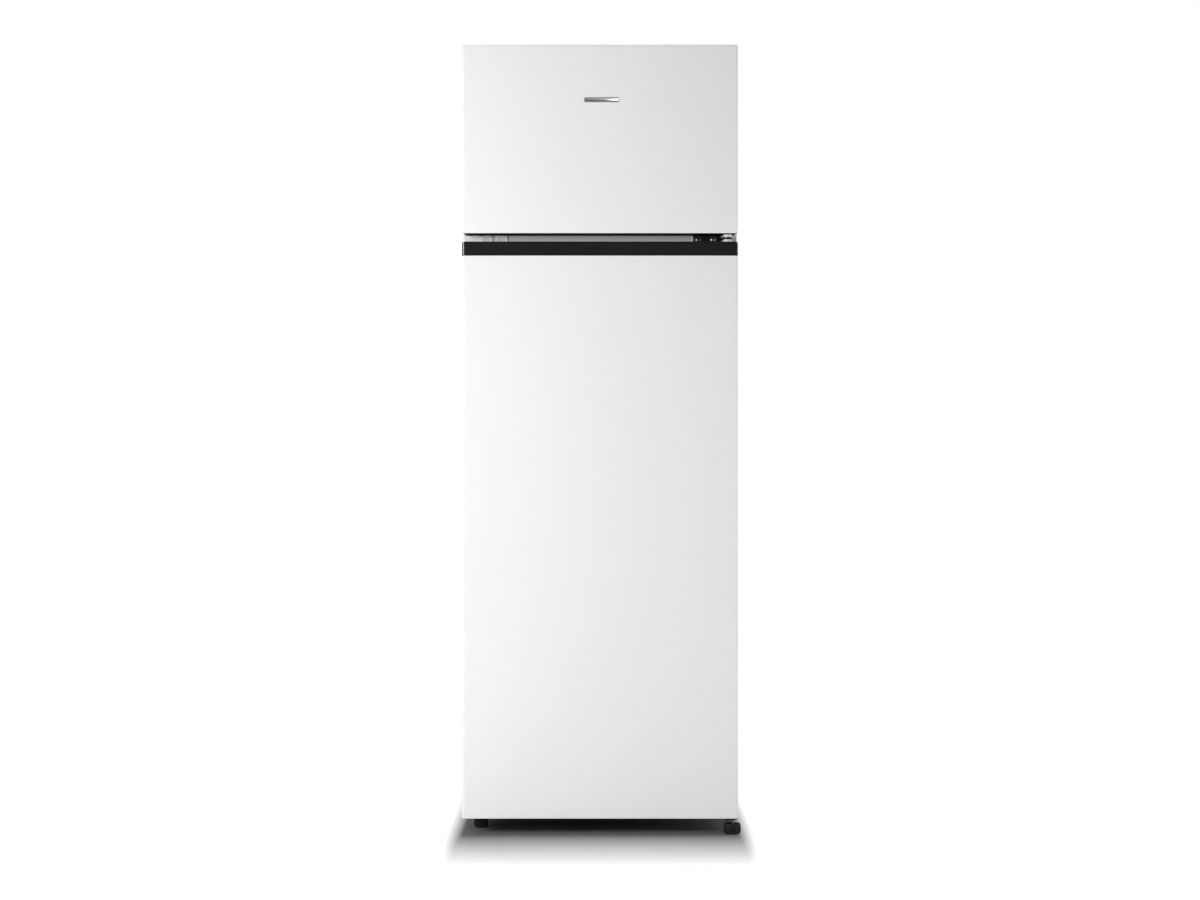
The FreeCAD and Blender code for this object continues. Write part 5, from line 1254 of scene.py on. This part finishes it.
def screw_places():
    """Every screw, as (kind, point, way), from the CAD nodes that it holds."""
    pin_x = sum(corner.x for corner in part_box("fridge_door_bushes")) / 2
    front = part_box("mullion_strip")[0].y
    deck, cabinet_top = (corner.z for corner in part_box("outer_wrap"))
    places = []
    for level, way, spots in (
        (cabinet_top + 3 * MM, 1, ((-40, 22), (-40, 50), (3, 22), (3, 50))),
        (deck - 3 * MM, -1, ((-58, 24), (-58, 56), (-10, 56))),
    ):
        for u, v in spots:
            places.append(("small", Vector((pin_x + u * MM, front + v * MM, level)), Vector((0, 0, way))))
    panel_low, panel_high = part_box("back_panel")
    rear = panel_low.y + 0.8 * MM
    edge = panel_high.x - 8.8 * MM
    low, high = panel_low.z + 10 * MM, cabinet_top - 16 * MM
    for x in (-edge, edge):
        for k in range(6):
            places.append(("panel", Vector((x, rear, low + (high - low) * k / 5)), Vector((0, 1, 0))))
    grommet_low, grommet_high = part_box("compressor_grommets")
    for x in (grommet_low.x + 10 * MM, grommet_high.x - 10 * MM):
        for y in (grommet_low.y + 10 * MM, grommet_high.y - 10 * MM):
            places.append(("bolt", Vector((x, y, grommet_high.z + 3.2 * MM)), Vector((0, 0, 1))))
    return places


class Screws(bpy.types.Operator):
    """Places every screw and plug on its seat"""

    bl_idname = "refrigerator.screws"
    bl_label = "Screws and plugs"

    def execute(self, context):
        kinds = {
            "small": (8.5, 2.8, 4.2, 3.0),
            "panel": (8.0, 2.4, 3.8, 0.7),
            "bolt": (12.0, 4.0, 6.0, 3.0),
        }
        places = screw_places()
        turn = math.pi / 2
        for kind, sizes in kinds.items():
            chosen = [(point, way) for name, point, way in places if name == kind]
            form = screw_form(*(size * MM for size in sizes))
            copies(f"{kind}_screws", form, chosen, "zinc", CABINET, spin=turn)
        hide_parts("zinc_screws")
        low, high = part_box("black_screws")
        flange = 6.6 * MM
        middle = (low.z + high.z) / 2
        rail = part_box("mullion_strip")[0].y
        centres = (low.x + flange, high.x - flange)
        forward = Vector((0, -1, 0))
        chosen = [(Vector((x, rail - 3 * MM, middle)), forward) for x in centres]
        form = screw_form(9.5 * MM, 4.2 * MM, 6 * MM, 2.9 * MM, flange)
        screws = copies("hinge_screws", form, chosen, "black_zinc", CABINET, spin=turn)
        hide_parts("black_screws")
        chosen = [(Vector((-x, rail, middle)), forward) for x in centres]
        outer = [(13.0, 0.0), (13.0, 0.7), (12.4, 1.6), (11.0, 2.2), (9.0, 2.4)]
        self.plugs("rail_plugs", outer + [(8.4, 2.1), (7.0, 1.9), (3.0, 1.8)], 40, chosen, ("hole_plugs",))
        chosen = [
            (Vector((-point.x, point.y, point.z - 3 * MM)), way)
            for name, point, way in places
            if name == "small" and way.z > 0
        ]
        profile = [(4.6, 0.0), (5.0, 0.4), (4.8, 1.1), (4.0, 1.6), (2.6, 1.6), (2.2, 1.3)]
        self.plugs("top_plugs", profile, 28, chosen)
        return {"FINISHED"}

    def plugs(self, name, profile, count, places, nodes=()):
        """Round plugs from a profile in millimetres."""
        form = Form()
        form.loft(turned([(radius * MM, level * MM) for radius, level in profile], count=count))
        copies(name, form, places, "trim", CABINET, nodes)


# --------------------------------------------------------- feet and rollers


def foot(name, node, body, collar):
    """A levelling foot: a ribbed pad and a threaded stud."""
    feet = bpy.context.scene.fridge_feet
    low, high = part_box(node)
    centre = ((low.x + high.x) / 2, (low.y + high.y) / 2)
    radius = (high.x - low.x) / 2 - 0.8 * MM
    stud = 4 * MM
    form = Form()
    profile = [
        (radius - 3.6 * MM, low.z),
        (radius - 1.6 * MM, low.z + 0.5 * MM),
        (radius - 0.5 * MM, low.z + 1.6 * MM),
        (radius, low.z + 3.6 * MM),
        (radius, collar - 3.2 * MM),
        (radius - 0.6 * MM, collar - 1.2 * MM),
        (radius - 2.0 * MM, collar - 0.3 * MM),
        (radius - 3.4 * MM, collar),
        (stud + 2.2 * MM, collar),
        (stud + 2.0 * MM, collar - 0.4 * MM),
        (stud * 0.8, collar - 0.4 * MM),
    ]
    form.loft(turned(profile, centre, count=48))
    piece_from(form, name, "black", body, (node,), 38)
    form = Form()
    profile = [(stud * 0.8, collar - 0.8 * MM)]
    turns = max(int((high.z - collar) / feet.thread_pitch), 1)
    pitch = (high.z - collar) / turns
    for k in range(turns):
        base = collar + k * pitch
        for share, reach in ((0.05, stud * 0.86), (0.5, stud), (0.95, stud * 0.86)):
            profile.append((reach, base + share * pitch))
    profile.append((stud * 0.8, high.z))
    form.loft(turned(profile, centre, count=36))
    piece_from(form, f"{name}_stud", "zinc", body, angle=50)
    rib = Form()
    tall = collar - low.z - 8.4 * MM
    steps = [(0.0, -0.3 * MM), (0.1 * MM, 0.35 * MM), (0.5 * MM, 0.75 * MM)]
    rib.loft(nested((-tall / 2, -0.9 * MM), (tall / 2, 0.9 * MM), 0.9 * MM, steps, "z", 2))
    middle = Vector((*centre, low.z + 4.2 * MM + tall / 2))
    axis = Vector((0, 0, 1))
    ribs_round(f"{name}_ribs", rib, feet.ribs, middle, radius, axis, "black", body)


def ribs_round(name, form, count, middle, radius, axis, finish, body):
    """Copies of a rib in a circle round an axis, each with its length along that axis."""
    whole = Form()
    for k in range(count):
        angle = 2 * math.pi * k / count
        way = Vector((math.cos(angle), math.sin(angle) * axis.z, math.sin(angle) * axis.y))
        turn = Matrix((axis, axis.cross(way).normalized(), way)).transposed()
        point = middle + way * radius
        lookup = {vert: whole.bm.verts.new(turn @ vert.co + point) for vert in form.bm.verts}
        for face in form.bm.faces:
            whole.bm.faces.new([lookup[vert] for vert in face.verts])
    form.bm.free()
    return piece_from(whole, name, finish, body)


class Feet(bpy.types.Operator):
    """Builds the levelling feet and the rear rollers"""

    bl_idname = "refrigerator.feet"
    bl_label = "Feet and rollers"

    def execute(self, context):
        foot("right_foot_pad", "foot_right", "right_foot", 21.5 * MM)
        foot("left_foot_pad", "foot_left", "left_foot", 30.5 * MM)
        for node, body in (("roller_left", "left_roller"), ("roller_right", "right_roller")):
            low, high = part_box(node)
            centre = ((low.y + high.y) / 2, (low.z + high.z) / 2)
            radius = (high.z - low.z) / 2
            side = [(2.65, 0.0), (5.4, 0.0), (5.8, 1.6)]
            tread = [(3.2, 1.6), (2.6, 0.3), (1.6, 0.0), (0.4, 0.5), (0.0, 1.8)]
            side = [(reach * MM, level * MM) for reach, level in side]
            side += [(radius - inset * MM, level * MM) for inset, level in tread]
            profile = [(reach, low.x + level) for reach, level in side]
            profile += [(reach, high.x - level) for reach, level in side[::-1]]
            form = Form()
            form.loft(turned(profile, centre, "x"), closed=True)
            piece_from(form, f"{node}_wheel", "black", body, (node,))
        softened("roller_axles", "zinc", 0.3)
        return {"FINISHED"}


# ------------------------------------------------------------------ interior


class Shelves(bpy.types.Operator):
    """Builds the glass shelves, the crisper's lid and their trims"""

    bl_idname = "refrigerator.shelves"
    bl_label = "Shelves"

    def execute(self, context):
        low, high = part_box("glass_shelves")
        thick = 4 * MM
        levels = [low.z + k * 190 * MM for k in range(3)]
        self.panes("glass_panes", "glass_shelves", low, high, levels, thick)
        low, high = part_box("crisper_lid")
        self.panes("crisper_lid_glass", "crisper_lid", low, high, [low.z], thick)
        low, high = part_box("freezer_shelf")
        self.panes("freezer_shelf_glass", "freezer_shelf", low, high, [low.z], thick)
        softened("shelf_trims", "trim", 0.4)
        return {"FINISHED"}

    def panes(self, name, node, low, high, levels, thick):
        form = Form()
        for level in levels:
            steps = [(inset, level + drop) for inset, drop in quarter(0.8 * MM, 3, False)]
            steps += [(inset, level + thick - drop) for inset, drop in quarter(0.8 * MM, 3)]
            form.loft(nested((low.x, low.y), (high.x, high.y), 6 * MM, steps))
        piece_from(form, name, "glass", CABINET, (node,))


class Drawer(bpy.types.Operator):
    """Builds the crisper drawer with its pull and ribs"""

    bl_idname = "refrigerator.crisper"
    bl_label = "Crisper drawer"

    def execute(self, context):
        low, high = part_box("crisper_drawer")
        pull = 7 * MM
        slope = 20 * MM
        front, rear = low.y + pull, high.y - slope
        form = Form()
        rings = nested(
            (low.x, front), (high.x, rear), 9 * MM, bowl(low.z, high.z, 2.5 * MM, 1.1 * MM, 5 * MM), "z", 6
        )
        verts = form.loft(rings)

        def lean(place):
            share = (place.z - low.z) / (high.z - low.z)
            depth = (place.y - front) / (rear - front)
            return Vector((0, slope * share * depth, 0))

        form.move(verts, lean)
        width = high.x - 34 * MM
        profile = [(1.6, 0.0), (0.4, 0.8), (0.0, 2.4), (0.4, 4.8), (1.6, 6.0)]
        rings = []
        for inset, rise in profile:
            near = (-width + inset * MM, front - pull + inset * MM)
            far = (width - inset * MM, front + 1.2 * MM)
            rings.append(rounded(near, far, 6 * MM, high.z - 6 * MM + rise * MM, "z", 6))
        form.loft(rings)
        piece_from(form, "crisper_clear", "clear", "crisper", ("crisper_drawer",))
        return {"FINISHED"}


class Trays(bpy.types.Operator):
    """Finishes the egg tray and the ice tray"""

    bl_idname = "refrigerator.trays"
    bl_label = "Egg and ice trays"

    def execute(self, context):
        softened("egg_tray", "trim", 0.9, 3)
        softened("ice_tray", "clear", 0.6, 2)
        return {"FINISHED"}


class ControlBox(bpy.types.Operator):
    """Builds the thermostat box, its knob and numbers, the door switch and the lens"""

    bl_idname = "refrigerator.control_box"
    bl_label = "Thermostat and light"

    def execute(self, context):
        softened("control_housing", "trim", 1.2, 3)
        self.knob(context)
        self.switch()
        self.lens()
        return {"FINISHED"}

    def knob(self, context):
        low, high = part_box("thermostat_knob")
        centre = ((low.x + high.x) / 2, (low.z + high.z) / 2)
        radius = (high.x - low.x) / 2
        face, seat = low.y, low.y + 12 * MM
        profile = [
            (3.0 * MM, high.y),
            (3.0 * MM, seat),
            (radius - 0.8 * MM, seat),
            (radius, seat - 0.8 * MM),
            (radius - 0.2 * MM, seat - 2.6 * MM),
            (radius - 1.6 * MM, seat - 3.4 * MM),
            (radius - 2.2 * MM, face + 1.4 * MM),
            (radius - 2.8 * MM, face + 0.5 * MM),
            (radius - 4.0 * MM, face),
            (5.0 * MM, face),
            (4.0 * MM, face + 0.6 * MM),
        ]
        form = Form()
        form.loft(turned(profile, centre, "y", 56))
        piece_from(form, "knob_body", "trim", "knob", ("thermostat_knob",))
        rib = Form()
        steps = [(0, -0.3 * MM), (0.2 * MM, 0.5 * MM)]
        rib.loft(nested((-3.4 * MM, -0.5 * MM), (3.4 * MM, 0.5 * MM), 0.5 * MM, steps, "z", 2))
        middle = Vector((centre[0], face + 4.9 * MM, centre[1]))
        count = context.scene.fridge_feet.knob_ribs
        reach = radius - 2.0 * MM
        ribs_round("knob_ribs", rib, count, middle, reach, Vector((0, 1, 0)), "trim", "knob")
        mark = Form()
        near = (centre[0] - 0.6 * MM, centre[1] + 5.6 * MM)
        far = (centre[0] + 0.6 * MM, centre[1] + 11.4 * MM)
        mark.loft(nested(near, far, 0.5 * MM, [(0, face + 0.2 * MM), (0, face - 0.12 * MM)], "y", 3))
        piece_from(mark, "knob_mark", "ink", "knob")
        self.numbers(centre, radius)

    def numbers(self, centre, radius):
        """Plain numbers from 0 to 6 round the knob, printed on the box."""
        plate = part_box("control_housing")[0].y
        reach = radius + 4.2 * MM
        upright = Matrix.Rotation(math.pi / 2, 4, "X")
        bm = bmesh.new()
        for k in range(7):
            angle = math.radians(90 - 45 * k)
            curve = bpy.data.curves.new(f"number_{k}", "FONT")
            curve.body = str(k)
            curve.size = 5.0 * MM
            curve.align_x, curve.align_y = "CENTER", "CENTER"
            text = bpy.data.objects.new(f"number_{k}", curve)
            bpy.context.scene.collection.objects.link(text)
            mesh = plain_mesh(text)
            bpy.data.objects.remove(text)
            spot_x = centre[0] + reach * math.cos(angle)
            spot_z = centre[1] + reach * math.sin(angle)
            mesh.transform(Matrix.Translation((spot_x, plate - 0.05 * MM, spot_z)) @ upright)
            bm.from_mesh(mesh)
            bpy.data.meshes.remove(mesh)
        whole = bpy.data.meshes.new("dial_numbers")
        bm.to_mesh(whole)
        bm.free()
        piece_from(whole, "dial_numbers", "ink", CABINET)

    def switch(self):
        low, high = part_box("light_switch")
        centre = ((low.x + high.x) / 2, (low.z + high.z) / 2)
        stem = 4 * MM
        form = Form()
        tip = ((0.6, 0.0), (2.0, 0.2), (3.2, 0.9), (4.0, 2.4))
        profile = [(radius * MM, low.y + drop * MM) for radius, drop in tip]
        profile += [(stem, high.y - 3 * MM), (6.0 * MM, high.y - 3 * MM), (6.0 * MM, high.y)]
        form.loft(turned(profile, centre, "y", 32))
        piece_from(form, "switch_plunger", "trim", "switch", ("light_switch",))

    def lens(self):
        low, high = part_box("light_lens")
        form = Form()
        steps = [(0.0, high.z), (0.0, low.z + 3 * MM)]
        steps += [(inset, low.z + drop) for inset, drop in quarter(3 * MM, 4)]
        form.loft(nested((low.x, low.y), (high.x, high.y), 8 * MM, steps, "z", 6))
        for k in range(7):
            x = low.x + 14 * MM + k * (high.x - low.x - 28 * MM) / 6
            near, far = (x - 1.4 * MM, low.y + 8 * MM), (x + 1.4 * MM, high.y - 8 * MM)
            ridge = [(inset * MM, low.z + rise * MM) for inset, rise in ((0, 0.4), (0.3, -0.5), (1.0, -0.9))]
            form.loft(nested(near, far, 1.4 * MM, ridge))
        piece_from(form, "lamp_lens", "frost", CABINET, ("light_lens",))


# ------------------------------------------------------------ compressor bay


class CompressorBay(bpy.types.Operator):
    """Builds the compressor and its neighbours, and finishes the foam, coils and plates in the walls"""

    bl_idname = "refrigerator.compressor_bay"
    bl_label = "Compressor bay"

    def execute(self, context):
        self.compressor()
        softened("compressor_grommets", "rubber", 0.3)
        softened("relay_cover", "black", 1.2, 3)
        softened("filter_drier", "copper", 0)
        softened("refrigerant_tubes", "copper", 0, angle=50)
        softened("drain_tube", "black", 0.3)
        softened("mains_gland", "black", 0.6)
        low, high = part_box("drip_tray")
        form = Form()
        steps = bowl(low.z, high.z, 2 * MM, 0.9 * MM, 4 * MM)
        form.loft(nested((low.x, low.y), (high.x, high.y), 12 * MM, steps, "z", 6))
        piece_from(form, "drip_tray_bowl", "black", CABINET, ("drip_tray",))
        repaint("cabinet_foam", "foam")
        repaint("condenser_coils", "copper")
        repaint("evaporators", "aluminium")
        return {"FINISHED"}

    def compressor(self):
        low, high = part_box("compressor")
        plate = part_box("compressor_grommets")[1].z
        middle = Vector(((low.x + high.x) / 2, (low.y + high.y) / 2, 0))
        half = Vector((93 * MM, 60 * MM))
        base, top = plate + 8 * MM, high.z
        seam = base + (top - base) * 0.56
        bottom, dome = 26 * MM, 40 * MM
        steps = [(bottom * inset, base + bottom * rise) for rise, inset in quarter(1, 6)]
        seam_profile = ((0, -0.5), (-2.6, 0), (-3, 1), (-3, 3), (-2.6, 4), (0.8, 4.5))
        steps += [(inset * MM, seam + rise * MM) for inset, rise in seam_profile]
        steps += [(0.8 * MM + dome * inset, top - (dome + 2 * MM) * drop) for inset, drop in quarter(1, 8)]
        form = Form()
        corner_low = (middle.x - half.x, middle.y - half.y)
        corner_high = (middle.x + half.x, middle.y + half.y)
        form.loft(nested(corner_low, corner_high, 54 * MM, steps, "z", 10))
        for side in (-1, 1):
            edge = middle.x + side * (half.x + 4 * MM)
            inner = middle.x + side * (half.x - 26 * MM)
            near, far = (min(edge, inner), middle.y - half.y), (max(edge, inner), middle.y + half.y)
            edge_steps = ((0.3, 0.0), (0.0, 0.4), (0.0, 2.6), (0.3, 3.0))
            sheet = [(inset * MM, plate + rise * MM) for inset, rise in edge_steps]
            form.loft(nested(near, far, 7 * MM, sheet, "z", 5))
            leg = middle.x + side * (half.x - 40 * MM)
            near, far = (leg - 12 * MM, middle.y - 20 * MM), (leg + 12 * MM, middle.y + 20 * MM)
            form.loft(nested(near, far, 4 * MM, [(0, plate + 0.5 * MM), (1 * MM, base + 8 * MM)], "z", 4))
        piece_from(form, "compressor_can", "compressor", CABINET, ("compressor",), 40)


# --------------------------------------------------------------------- stage


class Stage(bpy.types.Operator):
    """Adds the pale floor, the soft lights and the camera"""

    bl_idname = "refrigerator.stage"
    bl_label = "Stage"

    def execute(self, context):
        stage = context.scene.fridge_stage
        self.floor(stage)
        self.lights(stage)
        self.world(stage)
        camera = bpy.data.cameras.new("Camera")
        camera.lens = stage.lens
        camera.sensor_width = 36
        camera.clip_end = 100
        viewer = bpy.data.objects.new("Camera", camera)
        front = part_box("fridge_door_skin")[0].y
        viewer.location = (0, front - stage.camera_distance, stage.camera_height)
        viewer.rotation_euler = (math.pi / 2, 0, 0)
        context.scene.collection.objects.link(viewer)
        context.scene.camera = viewer
        context.scene.view_settings.view_transform = "Standard"
        return {"FINISHED"}

    def floor(self, stage):
        """A pale disc that glows away from the refrigerator; the glow fades out in a box round its footprint,
        which paints the shadow round its base.
        """
        form = Form()
        form.loft(turned([(4.5, -0.02), (4.5, 0.0)], count=96))
        mesh = form.mesh("floor")
        paint = bpy.data.materials.new("Pale floor")
        paint.use_nodes = True
        tree = paint.node_tree
        shader = tree.nodes["Principled BSDF"]
        seen = tree.nodes.new("ShaderNodeLightPath").outputs["Is Camera Ray"]
        # The camera sees the darker floor tone, a painted shade that deepens the shadow round the base; other
        # rays meet the bounce tone.
        shade = spread(tree, seen, 0, 1, stage.floor_bounce, stage.floor_shade)
        tree.links.new(shade, shader.inputs["Base Color"])
        shader.inputs["Roughness"].default_value = 0.9
        shader.inputs["Specular IOR Level"].default_value = 0.1
        shader.inputs["Emission Color"].default_value = (1, 1, 1, 1)
        place = tree.nodes.new("ShaderNodeTexCoord")
        low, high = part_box("outer_wrap")
        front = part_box("fridge_door_skin")[0].y
        # Distance out of the footprint's box, scaled by the side and front reaches: the glow grows with it,
        # so the floor near the base stays dark as a painted shadow.
        reach = place.outputs["Object"]
        for operation, amount in (
            ("SUBTRACT", ((low.x + high.x) / 2, (front + high.y) / 2, 0)),
            ("ABSOLUTE", (0, 0, 0)),
            ("SUBTRACT", ((high.x - low.x) / 2, (high.y - front) / 2, 1)),
            ("MAXIMUM", (0, 0, 0)),
            ("DIVIDE", (stage.side_shadow, stage.front_shadow, 1)),
            ("LENGTH", (0, 0, 0)),
        ):
            step = tree.nodes.new("ShaderNodeVectorMath")
            step.operation = operation
            tree.links.new(reach, step.inputs[0])
            step.inputs[1].default_value = amount
            reach = step.outputs["Value" if operation == "LENGTH" else "Vector"]
        strength = arithmetic(tree, "MULTIPLY", spread(tree, reach, 0, 1, 0, stage.glow), seen)
        tree.links.new(strength, shader.inputs["Emission Strength"])
        mesh.materials.append(paint)
        floor = bpy.data.objects.new("floor", mesh)
        bpy.context.scene.collection.objects.link(floor)

    def lights(self, stage):
        for name, place, size, power in (
            ("Key", (-1.9, -2.4, 1.3), (0.9, 0.8), stage.key),
            ("Top", (0.0, 0.7, 8.0), (1.2, 3.0), stage.top),
            ("Right", (2.6, -0.15, 1.2), (1.0, 2.0), stage.fill),
            ("Back", (-0.9, 3.2, 1.8), (1.6, 1.6), stage.fill * 1.1),
        ):
            light = bpy.data.lights.new(name, "AREA")
            light.shape = "RECTANGLE"
            light.size, light.size_y = size
            light.energy = power
            lamp = bpy.data.objects.new(name, light)
            lamp.location = place
            aim = Vector((0, 0, 0.8)) - Vector(place)
            lamp.rotation_euler = aim.to_track_quat("-Z", "Y").to_euler()
            bpy.context.scene.collection.objects.link(lamp)

    def world(self, stage):
        world = bpy.data.worlds.new("White room")
        world.use_nodes = True
        bpy.context.scene.world = world
        tree = world.node_tree
        shader = tree.nodes["Background"]
        shader.inputs["Color"].default_value = (1, 1, 1, 1)
        path = tree.nodes.new("ShaderNodeLightPath")
        strength = spread(tree, path.outputs["Is Camera Ray"], 0, 1, stage.sky, 1.05)
        tree.links.new(strength, shader.inputs["Strength"])


# ---------------------------------------------------------------- the add-on

OPERATORS = (
    DoorSkins,
    DoorCaps,
    DoorLiners,
    Gaskets,
    DoorRacks,
    Badge,
    CabinetShell,
    CabinetLiners,
    Hinges,
    Screws,
    Feet,
    Shelves,
    Drawer,
    Trays,
    ControlBox,
    CompressorBay,
    Stage,
)


class RefrigeratorPanel(bpy.types.Panel):
    """The refrigerator's settings and pieces"""

    bl_idname = "VIEW3D_PT_refrigerator"
    bl_label = "Top freezer refrigerator"
    bl_space_type = "VIEW_3D"
    bl_region_type = "UI"
    bl_category = "Refrigerator"

    def draw(self, context):
        layout = self.layout
        for name, group in SETTINGS.items():
            box = layout.box()
            box.label(text=group.__doc__)
            for key in group.__annotations__:
                box.prop(getattr(context.scene, name), key)
        for operator in OPERATORS:
            layout.operator(operator.bl_idname)


def register():
    for group in SETTINGS.values():
        bpy.utils.register_class(group)
    for name, group in SETTINGS.items():
        setattr(bpy.types.Scene, name, PointerProperty(type=group))
    for operator in OPERATORS:
        bpy.utils.register_class(operator)
    bpy.utils.register_class(RefrigeratorPanel)


def unregister():
    bpy.utils.unregister_class(RefrigeratorPanel)
    for operator in reversed(OPERATORS):
        bpy.utils.unregister_class(operator)
    for name in SETTINGS:
        delattr(bpy.types.Scene, name)
    for group in SETTINGS.values():
        bpy.utils.unregister_class(group)


def main():
    """Builds every piece and the stage."""
    register()
    for operator in OPERATORS:
        module, name = operator.bl_idname.split(".")
        getattr(getattr(bpy.ops, module), name)()


if __name__ == "__main__":
    main()
